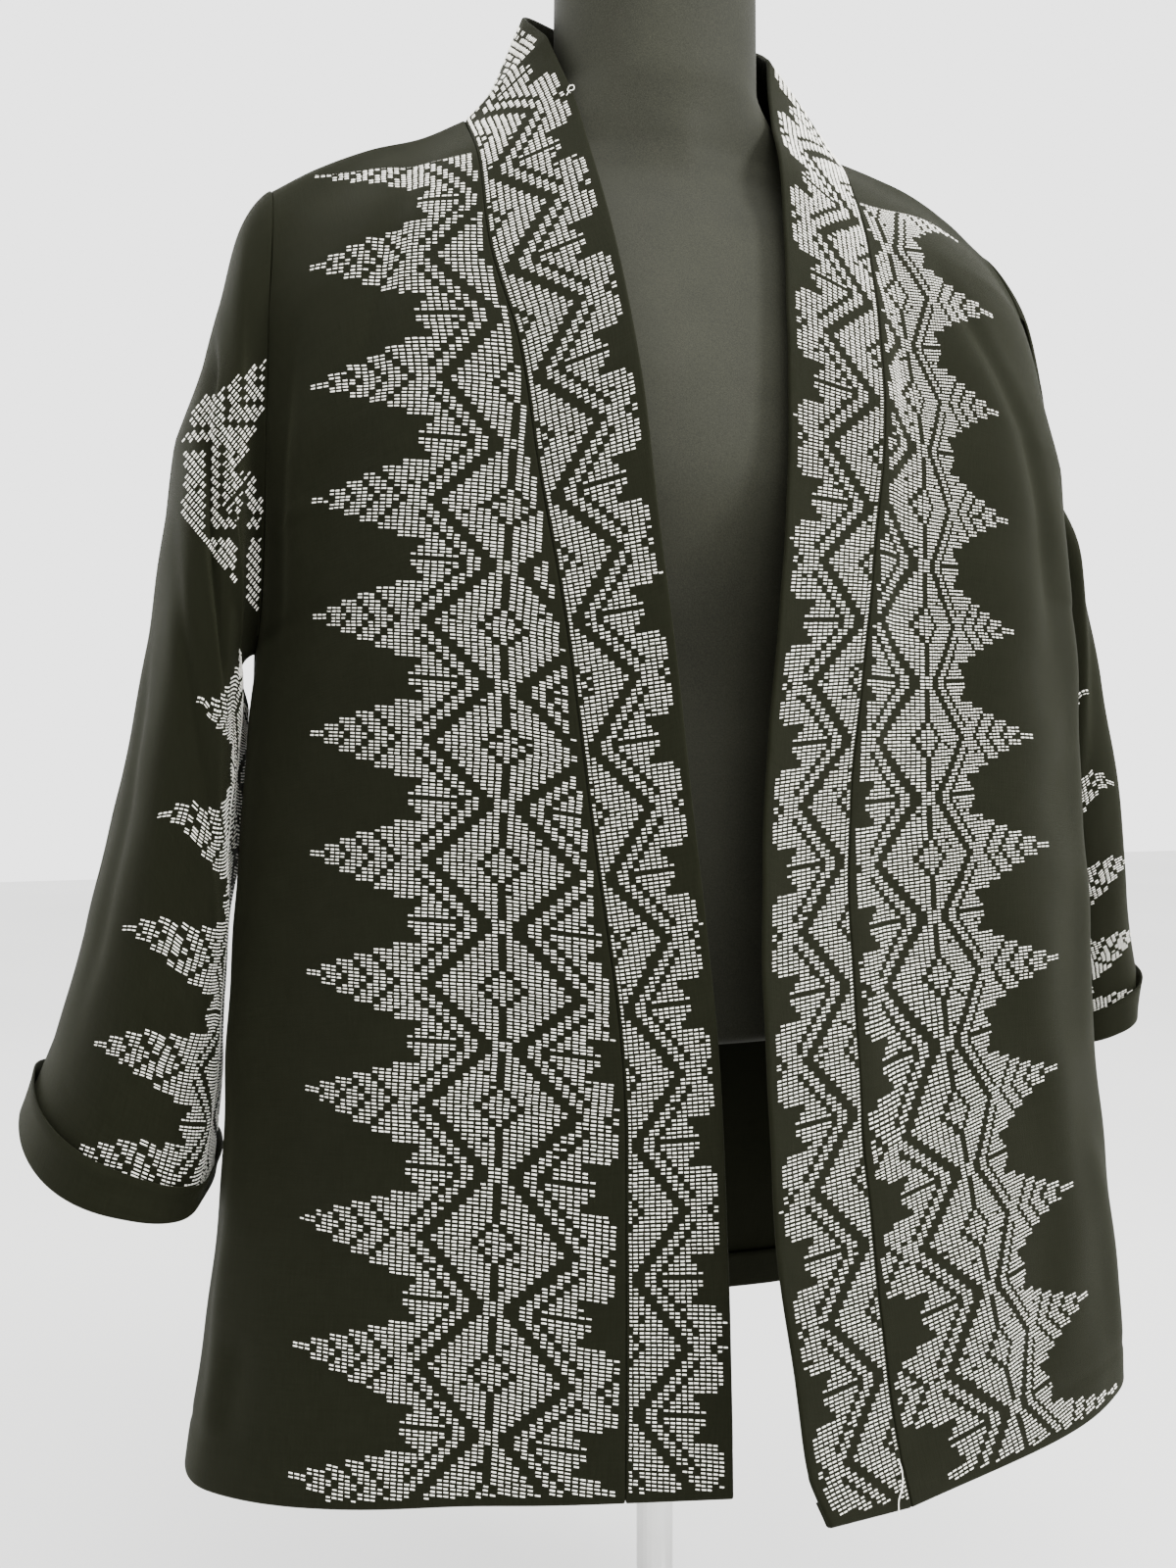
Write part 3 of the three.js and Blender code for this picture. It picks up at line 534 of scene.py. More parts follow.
def wall_mesh(points: Array, normals: Array, wall: float, closed: bool, facing: int) -> tuple[Array, Array]:
    """A closed thin wall round a grid of middle points.

    The outer skin is middle + wall/2 * normal, the inner skin middle - wall/2 * normal, and
    strips of quads close the rims.

    Args:
        points: (rows, columns, 3) middle points.
        normals: Outward unit normals.
        wall: Thickness.
        closed: Whether the last column joins the first.
        facing: +1 where (across x along) points outwards.

    Returns:
        The vertices and the quads.
    """
    rows, columns = points.shape[:2]
    count = rows * columns
    outer = (points + normals * wall / 2).reshape(-1, 3)
    inner = (points - normals * wall / 2).reshape(-1, 3)
    number = np.arange(count).reshape(rows, columns)
    nxt = np.roll(number, -1, 1) if closed else number[:, 1:]
    base = number if closed else number[:, :-1]
    a, b, c, d = base[:-1], nxt[:-1], nxt[1:], base[1:]
    skins = [np.stack([a, b, c, d], -1), np.stack([a, d, c, b], -1) + count]
    rims = [
        np.stack([base[0], base[0] + count, nxt[0] + count, nxt[0]], -1),
        np.stack([base[-1], nxt[-1], nxt[-1] + count, base[-1] + count], -1),
    ]
    if not closed:
        first, last = number[:, 0], number[:, -1]
        rims.append(np.stack([first[:-1], first[1:], first[1:] + count, first[:-1] + count], -1))
        rims.append(np.stack([last[:-1], last[:-1] + count, last[1:] + count, last[1:]], -1))
    faces = np.concatenate([part.reshape(-1, 4) for part in skins + rims])
    if facing < 0:
        faces = faces[:, ::-1]
    return np.concatenate([outer, inner]), faces


def tube_mesh(line: Array, radius: float, sides: int = 8) -> tuple[Array, Array]:
    """A closed round tube of triangles along a line.

    Args:
        line: (n, 3) points.
        radius: Of the tube, tapering to a third at its free end.
        sides: Corners of its round.

    Returns:
        The vertices and the triangles.
    """
    run = unit(np.gradient(line, axis=0))
    first = unit(np.cross(run, np.array([0.31, 0.22, 0.92])))
    second = np.cross(run, first)
    turn = 2 * np.pi * np.arange(sides) / sides
    size = radius * (1 - 0.66 * smooth(0.85, 1, np.linspace(0, 1, len(line))))[:, None, None]
    round_it = first[:, None] * np.cos(turn)[None, :, None] + second[:, None] * np.sin(turn)[None, :, None]
    rings = line[:, None] + size * round_it
    number = np.arange(len(line) * sides).reshape(len(line), sides)
    nxt = np.roll(number, -1, 1)
    quads = np.stack([number[:-1], nxt[:-1], nxt[1:], number[1:]], -1).reshape(-1, 4)
    low, high = len(line) * sides, len(line) * sides + 1
    faces = np.concatenate([
        quads[:, [0, 1, 2]], quads[:, [0, 2, 3]],
        np.stack([np.full(sides, low), nxt[0], number[0]], -1),
        np.stack([np.full(sides, high), number[-1], nxt[-1]], -1),
    ])
    return np.vstack([rings.reshape(-1, 3), line[:1], line[-1:]]), faces


TURN_STEPS = 5
EDGES = {"top": (0, True), "hem": (0, False), "start": (1, True), "end": (1, False)}  # axis, whether first


def level_corners(grid: Array, core: slice) -> Array:
    """The grid with every column outside the core made equal to the core's nearest column."""
    result = grid.copy()
    result[:, :core.start] = grid[:, core.start:core.start + 1]
    result[:, core.stop:] = grid[:, core.stop - 1:core.stop]
    return result


def continue_rim(points: Array, normals: Array, rim: Rim, depth: float, core: slice) -> Array:
    """Rows of cloth beyond a grid's last row, as that edge is finished.

    A seam turns a quarter circle inwards and runs on as its allowance. A hem, a double layer
    or a cuff turns a half circle and comes back beneath or outside the cloth. Columns outside
    the core, which are another edge's allowance, follow the core's nearest column.

    Args:
        points: (rows, columns, 3), the last row being the edge.
        normals: Outward unit normals.
        rim: The kind of finish.
        depth: How far the allowance or the flap reaches, in millimetres.
        core: The columns that lie on the piece itself.

    Returns:
        The added rows, nearest the edge first.
    """
    normals = level_corners(normals, core)
    edge, normal = points[-1], normals[-1]
    out = unit(edge - points[-2])
    out = level_corners(unit(out - (out * normal).sum(-1, keepdims=True) * normal)[None], core)[0]
    step = np.linalg.norm(points[-1] - points[-2], axis=-1).mean()
    if rim is Rim.SEWN:
        turns = np.linspace(0, np.pi / 2, TURN_STEPS + 1)[1:]
        rows = [edge + SEAM_ROLL * (np.sin(t) * out - (1 - np.cos(t)) * normal) for t in turns]
        rows += [rows[-1] - normal * reach for reach in np.linspace(0, depth, 3)[1:]]
        return np.stack(rows)
    towards = 1.0 if rim is Rim.CUFF else -1.0
    turns = np.linspace(0, np.pi, TURN_STEPS + 2)[1:]
    rows = [edge + HEM_ROLL * (np.sin(t) * out + towards * (1 - np.cos(t)) * normal) for t in turns]
    flaps = min(int(round(depth / step)), len(points) - 2)
    lift = np.linspace(0, 1, flaps + 1)[1:] ** 2 * (CUFF_FLARE if rim is Rim.CUFF else 0)
    rows += [points[-1 - k] + towards * (2 * HEM_ROLL + lift[k - 1]) * normals[-1 - k]
             for k in range(1, flaps + 1)]
    return np.stack(rows)


def flipped(grid: Array, axis: int, first: bool) -> Array:
    """The grid with one of its edges as the last row; applying it twice with swapped steps undoes it."""
    turned = np.swapaxes(grid, 0, 1) if axis else grid
    return turned[::-1] if first else turned


def unflipped(grid: Array, axis: int, first: bool) -> Array:
    """Undo flipped."""
    turned = grid[::-1] if first else grid
    return np.swapaxes(turned, 0, 1) if axis else turned


# ---------------------------------------------------------------- sheets of cloth


@dataclass
class Cut:
    """The flat cloth that a piece is cut from, in metres."""

    width: float
    length: float
    area: float | None = None


@dataclass
class ClothSheet:
    """A piece of cloth as a grid of points over its length (along) and width (across)."""

    name: str
    cut: Cut
    held: Held
    rests_on: tuple[str, ...]
    facing: int
    slot: Slot = Slot.CLOTH
    closed: bool = False
    wall: float = CLOTH_WALL
    rims: dict[str, tuple[Rim, float]] = field(default_factory=dict)
    length_guess: float = 760.0
    width_guess: float = 300.0

    def middle(self, along: Array, across: Array) -> Array:
        """The middle of the cloth at shares of its length and width, in millimetres."""
        raise NotImplementedError

    @cached_property
    def along(self) -> Array:
        """Shares of the length of the grid's rows."""
        return np.linspace(0, 1, int(self.length_guess / GRID_STEP) + 1)

    @cached_property
    def across(self) -> Array:
        """Shares of the width of the grid's columns."""
        count = int(self.width_guess / GRID_STEP) + 1
        return np.arange(count) / count if self.closed else np.linspace(0, 1, count)

    @cached_property
    def points(self) -> Array:
        """The creased middle surface, with its sewn edges drawn back."""
        plain = self.middle(self.along[:, None], self.across[None, :])
        normals = grid_normals(plain, self.closed, self.facing)
        push = self.crease_depth(plain) + self.ripple(plain) - self.hem_dimple(plain)
        creased = plain + normals * push[..., None]
        for edge, (rim, _) in self.rims.items():
            if rim is Rim.SEWN:
                creased = self.trimmed(creased, edge)
        return creased

    def hem_dimple(self, points: Array) -> Array:
        """The shallow dimple along the hem's stitching: depth * exp(-((distance - fold) / width)^2)."""
        if self.rims.get("hem", (Rim.DOUBLE, 0))[0] is not Rim.HEM:
            return np.zeros(points.shape[:2])
        steps = np.linalg.norm(np.diff(points, axis=0), axis=-1)
        from_hem = np.concatenate([np.cumsum(steps[::-1], 0)[::-1], np.zeros((1, steps.shape[1]))])
        return STITCH_DEPTH * np.exp(-(((from_hem - HEM_DEPTH) / STITCH_WIDTH) ** 2))

    def ripple(self, points: Array) -> Array:
        """A faint unevenness of the cloth: a few crossing waves 30 to 110 mm long."""
        x, y, z = np.moveaxis(points, -1, 0)
        fade = smooth(0, 0.05, self.along) * (1 - smooth(0.97, 1, self.along))
        waves = (0.32 * np.sin(x / 17 + z / 41 + 1.3) + 0.28 * np.sin(y / 13 - z / 29 + 4.1)
                 + 0.22 * np.sin(x / 9 - z / 15 + 0.4) + 0.25 * np.sin((x + y) / 23 + z / 11))
        return waves * fade[:, None]

    def crease_depth(self, points: Array) -> Array:
        """Depth of all listed creases: depth * exp(-(distance / width)^2), dying out at both ends."""
        along, across = np.meshgrid(self.along, self.across, indexing="ij")
        width = np.linalg.norm(np.diff(points, axis=1), axis=-1).sum(1).mean()
        length = np.linalg.norm(np.diff(points, axis=0), axis=-1).sum(0).mean()
        total = np.zeros_like(along)
        for crease in CREASES.get(self.name, ()):
            x0, x1 = crease.start[1] * width, crease.end[1] * width
            y0, y1 = crease.start[0] * length, crease.end[0] * length
            run = np.array([x1 - x0, y1 - y0])
            reach = np.hypot(*run)
            offset_x, offset_y = across * width - x0, along * length - y0
            share = (offset_x * run[0] + offset_y * run[1]) / reach**2
            bend = 0.06 * reach * np.sin(np.pi * np.clip(share, 0, 1))
            distance = (offset_x * run[1] - offset_y * run[0]) / reach - bend
            ends = smooth(-0.12, 0.25, share) * (1 - smooth(0.7, 1.12, share))
            total += crease.depth * ends * np.exp(-((distance / crease.width) ** 2))
        return total

    @staticmethod
    def trimmed(points: Array, edge: str) -> Array:
        """The grid with one sewn edge drawn back from its seam."""
        axis, first = EDGES[edge]
        turned = flipped(points.copy(), axis, first)
        turned[-1] -= unit(turned[-1] - turned[-2]) * SEAM_TRIM
        return unflipped(turned, axis, first)

    @cached_property
    def normals(self) -> Array:
        """Outward normals of the creased surface."""
        return grid_normals(self.points, self.closed, self.facing)

    @cached_property
    def offsets(self) -> Array:
        """Distance of each grid point from the start of its row, in millimetres."""
        steps = np.linalg.norm(np.diff(self.points, axis=1), axis=-1)
        return np.concatenate([np.zeros((len(steps), 1)), np.cumsum(steps, axis=1)], 1)

    def finished_grid(self) -> Array:
        """The middle surface with the cloth that continues past each rim."""
        grid = self.points
        rows, columns = grid.shape[:2]
        core = {0: slice(0, columns), 1: slice(0, rows)}
        for edge, (rim, depth) in self.rims.items():
            axis, first = EDGES[edge]
            normals = grid_normals(grid, self.closed, self.facing)
            turned = flipped(grid, axis, first)
            added = continue_rim(turned, flipped(normals, axis, first), rim, depth, core[axis])
            grid = unflipped(np.concatenate([turned, added]), axis, first)
            if first:
                other = core[1 - axis]
                core[1 - axis] = slice(other.start + len(added), other.stop + len(added))
        return grid

    def build(self, material: bpy.types.Material) -> bpy.types.Object:
        """Make the cloth's closed shell and hang its UV map on it."""
        grid = self.finished_grid()
        normals = grid_normals(grid, self.closed, self.facing)
        vertices, faces = wall_mesh(grid, normals, self.wall, self.closed, self.facing)
        across = np.linalg.norm(np.diff(grid, axis=1), axis=-1)
        across = np.concatenate([np.zeros((len(grid), 1)), np.cumsum(across, 1)], 1)
        along = np.linalg.norm(np.diff(grid, axis=0), axis=-1).mean(1)
        along = np.concatenate([[0], np.cumsum(along)])[:, None] + 0 * across
        flat = np.stack([across, along], -1).reshape(-1, 2) * MM
        piece = add_mesh(self.name + "_cloth", vertices * MM, faces, material)
        add_uv(piece, faces, np.concatenate([flat, flat]))
        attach(piece, BODY)
        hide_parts(self.name)
        return piece

    def sample(self, along: Array, across: Array) -> tuple[Array, Array]:
        """Points and normals at any places, by straight interpolation on the grid.

        Args:
            along: Shares of the length.
            across: Shares of the width.

        Returns:
            The middle points in millimetres and the outward normals.
        """
        rows, columns = self.points.shape[:2]
        row = np.clip(along, 0, 1) * (rows - 1)
        low_row = np.clip(row.astype(int), 0, rows - 2)
        down = (row - low_row)[..., None]
        if self.closed:
            place = (across % 1.0) * columns
            low = place.astype(int) % columns
            high = (low + 1) % columns
        else:
            place = np.clip(across, 0, 1) * (columns - 1)
            low = np.clip(place.astype(int), 0, columns - 2)
            high = low + 1
        right = (place - np.floor(place) if self.closed else place - low)[..., None]
        results = []
        for field_grid in (self.points, self.normals):
            upper = field_grid[low_row, low] * (1 - right) + field_grid[low_row, high] * right
            lower = field_grid[low_row + 1, low] * (1 - right) + field_grid[low_row + 1, high] * right
            results.append(upper * (1 - down) + lower * down)
        return results[0], unit(results[1])

    def across_at(self, along: Array, offset: Array) -> Array:
        """Share of the width at a distance from the row's start: the offsets turned round row by row."""
        reach = np.arange(0, self.offsets.max() + 2, 1.0)
        inverse = np.stack([np.interp(reach, line, self.across) for line in self.offsets])
        row = np.clip(along, 0, 1) * (len(inverse) - 1)
        low_row = np.clip(row.astype(int), 0, len(inverse) - 2)
        down = row - low_row
        place = np.clip(offset, 0, reach[-1] - 1)
        low = place.astype(int)
        right = place - low
        upper = inverse[low_row, low] * (1 - right) + inverse[low_row, low + 1] * right
        lower = inverse[low_row + 1, low] * (1 - right) + inverse[low_row + 1, low + 1] * right
        return upper * (1 - down) + lower * down

    def fold_depth(self, across: Array, along: Array) -> Array:
        """How far the large folds push the cloth out: soft ridges that die out at seams and ends."""
        edge = smooth(0, FOLD_EDGE, across) * (1 - smooth(1 - FOLD_EDGE, 1, across))
        total = np.zeros(np.broadcast(across, along).shape)
        for fold in FOLDS.get(self.name, ()):
            ends = (smooth(fold.start, fold.start + FOLD_FADE, along)
                    * (1 - smooth(fold.end - FOLD_FADE, fold.end, along)))
            total = total + edge * ends * fold.depth * np.exp(-(((across - fold.at) / fold.width) ** 2))
        return total


@dataclass
class FrontPanel(ClothSheet):
    """A front, from the band seam to the side.

    Each row is a cubic curve seen from above, and near the shoulder it takes on the ridge's line.
    """

    half: HalfEdges = RIGHT
    bulge: tuple[Bulge, ...] = RIGHT_BULGE

    def middle(self, along: Array, across: Array) -> Array:
        """See ClothSheet.middle."""
        along, across = np.broadcast_arrays(along, across)
        side = self.half.side.value
        start = self.half.lines["seam"].at(along)
        end = self.half.side_edge(along, -panel_swing(along))
        chord = end - start

        def handle(vector: Array, turn: Array, pull: Array) -> Array:
            """A pull on the curve's end: a share of the chord, turned, with a third of its height."""
            result = spun(vector, turn) * pull[..., None]
            result[..., 2] = vector[..., 2] / 3
            return result

        first = start + handle(chord, -side * column(self.bulge, "seam_turn", along),
                               column(self.bulge, "seam_pull", along))
        second = end + handle(-chord, side * column(self.bulge, "edge_turn", along),
                              column(self.bulge, "edge_pull", along))
        t = across[..., None]
        points = ((1 - t) ** 3 * start + 3 * (1 - t) ** 2 * t * first
                  + 3 * (1 - t) * t**2 * second + t**3 * end)
        corner, tip = np.array(self.half.ridge[0], float), np.array(self.half.ridge[-1], float)
        residual = self.half.lines["ridge"].at(across) - (corner + (tip - corner) * t)
        points = points + (1 - smooth(0, RIDGE_FADE, along))[..., None] * residual
        points[..., 1] -= (armhole_swing(along) - panel_swing(along)) * across**4
        outward = unit(np.stack([chord[..., 1], -chord[..., 0], 0 * along], -1)) * side
        return points + outward * self.fold_depth(across, along)[..., None]


@dataclass
class BackPanel(ClothSheet):
    """The back: rows of a flattened half oval below the two ridges and the neck seam."""

    ridge_share: float = 9 / 28
    width_power: float = 2.5
    height_power: float = 1.6

    @cached_property
    def top_line(self) -> tuple[Array, Array]:
        """The top edge from the right armhole to the left one, with its shares."""
        share = np.linspace(0, 1, 141)
        ridges = self.ridge_share
        right = RIGHT.lines["ridge"].at(1 - share / ridges)
        neck = CurveLine(NECK_SEAM).at((share - ridges) / (1 - 2 * ridges))
        left = LEFT.lines["ridge"].at((share - 1 + ridges) / ridges)
        line = np.where((share < ridges)[:, None], right, np.where((share > 1 - ridges)[:, None], left, neck))
        return share, line

    def middle(self, along: Array, across: Array) -> Array:
        """See ClothSheet.middle."""
        along, across = np.broadcast_arrays(along, across)
        share, line = self.top_line
        top = np.stack([np.interp(across, share, line[:, axis]) for axis in range(3)], -1)
        points = self.oval(along, top)
        fade = (1 - smooth(0, RIDGE_FADE, along)) ** 2
        points = points + fade[..., None] * (top - self.oval(0 * along, top))
        points[..., 1] += self.fold_depth(across, along)
        return points

    def oval(self, along: Array, top: Array) -> Array:
        """The flattened oval: depth as the root of 1 - s^2.5, height as 1 - s^1.6, s the share of x."""
        is_right = (top[..., 0] < 0)[..., None]
        swing = panel_swing(along)
        edge = np.where(is_right, RIGHT.side_edge(along, swing), LEFT.side_edge(along, swing))
        tip = np.where(is_right[..., 0], RIGHT.ridge[-1][0], LEFT.ridge[-1][0])
        share = np.minimum(top[..., 0] / tip, 1)
        centre = CurveLine(BACK_MIDDLE).at(along)
        deep = np.sqrt(np.maximum(1 - share**self.width_power, 0))
        high = 1 - share**self.height_power
        local = (armhole_swing(along) - swing) * share**5
        return np.stack([
            share * edge[..., 0],
            edge[..., 1] * (1 - deep) + centre[..., 1] * deep + local,
            edge[..., 2] * (1 - high) + centre[..., 2] * high,
        ], -1)


@dataclass
class NeckBand(ClothSheet):
    """Half of the neck band: from the middle of the back of the neck down the front to the hem."""

    half: HalfEdges = RIGHT
    neck_rows: float = 0.13  # share of the band's length that lies behind the neck

    def middle(self, along: Array, across: Array) -> Array:
        """See ClothSheet.middle."""
        along, across = np.broadcast_arrays(along, across)
        order = 1 if self.half.side is Side.RIGHT else -1
        neck_seam, neck_top = CurveLine(NECK_SEAM[::order]), CurveLine(NECK_TOP[::order])
        behind = np.clip(NECK_SHARE * (1 - along / self.neck_rows), 0, NECK_SHARE)
        down = np.clip((along - self.neck_rows) / (1 - self.neck_rows), 0, 1)
        t = across[..., None]
        neck = neck_seam.at(behind) * (1 - t) + neck_top.at(behind) * t
        front = self.half.lines["seam"].at(down) * (1 - t) + self.half.lines["opening"].at(down) * t
        return np.where((along < self.neck_rows)[..., None], neck, front)

    def down_front(self, share: Array) -> Array:
        """Share of the whole band at a share of its front part; below 0 runs on behind the neck."""
        return self.neck_rows + np.asarray(share) * (1 - self.neck_rows)


@dataclass
class Sleeve(ClothSheet):
    """A sleeve: oval rings, the first of them the armhole."""

    half: HalfEdges = RIGHT
    rings: tuple[Ring, ...] = RIGHT_RINGS

    def middle(self, along: Array, across: Array) -> Array:
        """See ClothSheet.middle. across runs round the ring from its top over its front."""
        along, across = np.broadcast_arrays(along, across)
        side = self.half.side.value
        turn = 2 * np.pi * across
        towards = np.where(turn <= np.pi, -1.0, 1.0)
        folded = np.where(turn <= np.pi, turn, 2 * np.pi - turn)
        place = ARMHOLE_SHARE * (1 - np.cos(folded)) / 2
        armhole = self.half.side_edge(place, towards * ARMHOLE_HALF_DEPTH * np.sin(folded))
        armhole[..., 0] += side * ARMHOLE_PUSH * along

        def value(name: str) -> Array:
            """A column of the rings' table."""
            return column(self.rings, name, along)

        def squared(wave: Array) -> Array:
            """A sine or cosine flattened into a squarer ring."""
            return np.sign(wave) * np.abs(wave) ** RING_SQUARENESS

        outer = np.stack([side * value("out_x"), value("middle_y"), value("out_z")], -1)
        under = np.stack([side * value("under_x"), value("middle_y"), value("under_z")], -1)
        size = 1 + self.fold_depth(across, along) / value("half_depth")
        centre = (outer + under) / 2
        points = centre + (outer - centre) * (size * squared(np.cos(turn)))[..., None]
        points[..., 1] -= size * value("half_depth") * squared(np.sin(turn))
        points[..., 2] -= value("droop") * np.maximum(0, np.sin(turn))
        leave = smooth(0, ARMHOLE_LEAVE, along)[..., None]
        return armhole * (1 - leave) + points * leave


# ---------------------------------------------------------------- the woven strip


@dataclass(frozen=True)
class WeftChart:
    """The strip's repeat of 17 pairs of rows, as counts of columns and pairs.

    a is the number of columns from the strip's middle and b the number of pairs from the
    middle of the repeat. The lozenge is where a + b <= 9, with a small dark diamond and a
    dark bar in it. A dark, a white and a dark ribbon run round it at a + b = 10 to 14, and
    beyond them stand the teeth, with small dark openings.
    """

    tooth_reach: tuple[int, ...] = (30, 27, 24, 21, 18, 15, 11, 12, 13)

    def is_white(self, columns: Array, rows: Array) -> Array:
        """Whether a float lies at each column and row.

        Args:
            columns: Whole columns from the strip's middle, of either sign.
            rows: Whole rows, counted from the top of a repeat.

        Returns:
            A mask of the same shape.
        """
        a = np.abs(columns)
        row = rows % ROWS
        b = np.abs(row // 2 - PAIRS // 2)
        total = a + b
        lozenge = (total <= 9) & (total != 3) & ~((a == 0) & (b >= 4) & (b <= 7))
        ribbon = (total == 12) | (total == 13) | ((total == 14) & (b < 2))
        reach = np.asarray(self.tooth_reach)[b]
        opening = ((a - b) % 4 == 3) & (b <= 3) & (a >= 15)
        tooth = (total >= 15) & (a <= reach) & ~opening
        parting = (row == ROWS - 1) & (a >= 7)
        return (lozenge | ribbon | tooth) & ~parting


Lay = Callable[[Array, Array], tuple[Array, Array]]


def tooth_values(teeth: tuple, repeat: Array) -> list[Array]:
    """Every column of a table of teeth at fractional repeats."""
    places = np.arange(len(teeth))
    table = np.asarray(teeth, float)
    return [np.interp(repeat, places, table[:, index]) for index in range(table.shape[1])]


@dataclass(frozen=True)
class FrontLay:
    """Where the strip's columns and rows lie on a front.

    Outside the strip's middle, places run from the middle line to the tooth's tip. Inside it
    the columns keep the warp's pitch up to the band seam.
    """

    panel: FrontPanel
    teeth: tuple[Tooth, ...]
    bunching: float = 0.0
    inward_pitch: float = WARP_PITCH
    inward_dip: float = 1.3

    def place(self, columns: Array, rows: Array) -> tuple[Array, Array]:
        """Shares along and across the front for columns (outwards positive) and rows."""
        repeat = (rows - (ROWS - 1) / 2) / ROWS
        tip_along, tip_offset, along_mid, offset_mid = tooth_values(self.teeth, repeat)
        share = columns / STRIP_REACH
        bunched = share - self.bunching * share**2 * (1 - share)
        outer = offset_mid + bunched * (tip_offset - offset_mid)
        inner = offset_mid + columns * self.inward_pitch
        offset = np.where(columns >= 0, outer, inner)
        rise = np.where(columns >= 0, share, self.inward_dip * share)
        along = along_mid + rise * (tip_along - along_mid)
        across = np.where(offset < 0, -1.0, self.panel.across_at(along, offset))
        return along, across


@dataclass(frozen=True)
class BandLay:
    """Where the strip's columns and rows lie on a band: its middle is at the seam."""

    band: NeckBand
    first: float  # share down the front of the first parting
    step: float  # share of one repeat
    tilt: tuple[tuple[float, float], ...]  # (share down the front, rise across the whole band)
    columns: float = 17.0
    first_column: float = 0.4

    def place(self, columns: Array, rows: Array) -> tuple[Array, Array]:
        """Shares along and across the band."""
        across = (columns - self.first_column) / self.columns
        share = self.first + self.step * (rows / ROWS)
        tilt = np.interp(share, [row[0] for row in self.tilt], [row[1] for row in self.tilt])
        return self.band.down_front(share + tilt * across), across


@dataclass(frozen=True)
class SleeveLay:
    """Where the strip's columns and rows lie on a sleeve, along each tooth's own weft row.

    The strip's middle runs down the sleeve's inner side, and the half of it behind that line
    mirrors the half in front.
    """

    teeth: tuple[SleeveTooth, ...]
    inner_slope: float = 0.5

    def place(self, columns: Array, rows: Array) -> tuple[Array, Array]:
        """Shares along the sleeve and round it."""
        repeat = (rows - (ROWS - 1) / 2) / ROWS
        (tip_along, tip_turn, half_along, half_turn, inner_along, inner_turn,
         pitch) = tooth_values(self.teeth, repeat)
        outer = np.stack([half_along - tip_along, half_turn - tip_turn], -1)
        inner = np.stack([inner_along - half_along, inner_turn - half_turn], -1)
        tip = np.stack([tip_along, tip_turn], -1)
        scale = np.array([SLEEVE_LENGTH, SLEEVE_ROUND])
        outer_leg = np.linalg.norm(outer * scale, axis=-1)
        inner_leg = np.linalg.norm(inner * scale, axis=-1)

        def spot(away: Array) -> Array:
            """The place so many columns from the strip's middle, by distance along both legs."""
            gone = (STRIP_REACH - away) * pitch
            first = np.minimum(gone / outer_leg, 1)[..., None]
            second = np.maximum((gone - outer_leg) / inner_leg, 0)[..., None]
            turned = np.minimum(second, 1) + self.inner_slope * np.maximum(second - 1, 0)
            bent = np.concatenate([turned, second], -1)
            return tip + first * outer + bent * inner

        place, middle = spot(np.abs(columns)), spot(0 * columns)
        turn = np.where(columns >= 0, place[..., 1], 2 * middle[..., 1] - place[..., 1])
        return place[..., 0], turn


@dataclass(frozen=True)
class Sight:
    """A level line of sight towards the jacket, which reads places as slopes aside and upwards."""

    distance: float = 950.0
    turn: float = math.radians(18.0)
    aside: float = 40.4
    height: float = 598.0

    @cached_property
    def forward(self) -> Array:
        """The direction of sight."""
        return np.array([math.sin(self.turn), math.cos(self.turn), 0.0])

    @cached_property
    def rightward(self) -> Array:
        """The level direction across it."""
        return np.array([math.cos(self.turn), -math.sin(self.turn), 0.0])

    @cached_property
    def place(self) -> Array:
        """Where it starts."""
        return -self.distance * self.forward - self.aside * self.rightward + np.array([0, 0, self.height])

    def slopes(self, points: Array) -> Array:
        """Slopes aside and upwards of points, times 1000."""
        deep = self.distance + points @ self.forward
        return np.stack([(points @ self.rightward + self.aside) / deep,
                         (points[..., 2] - self.height) / deep], -1) * 1000


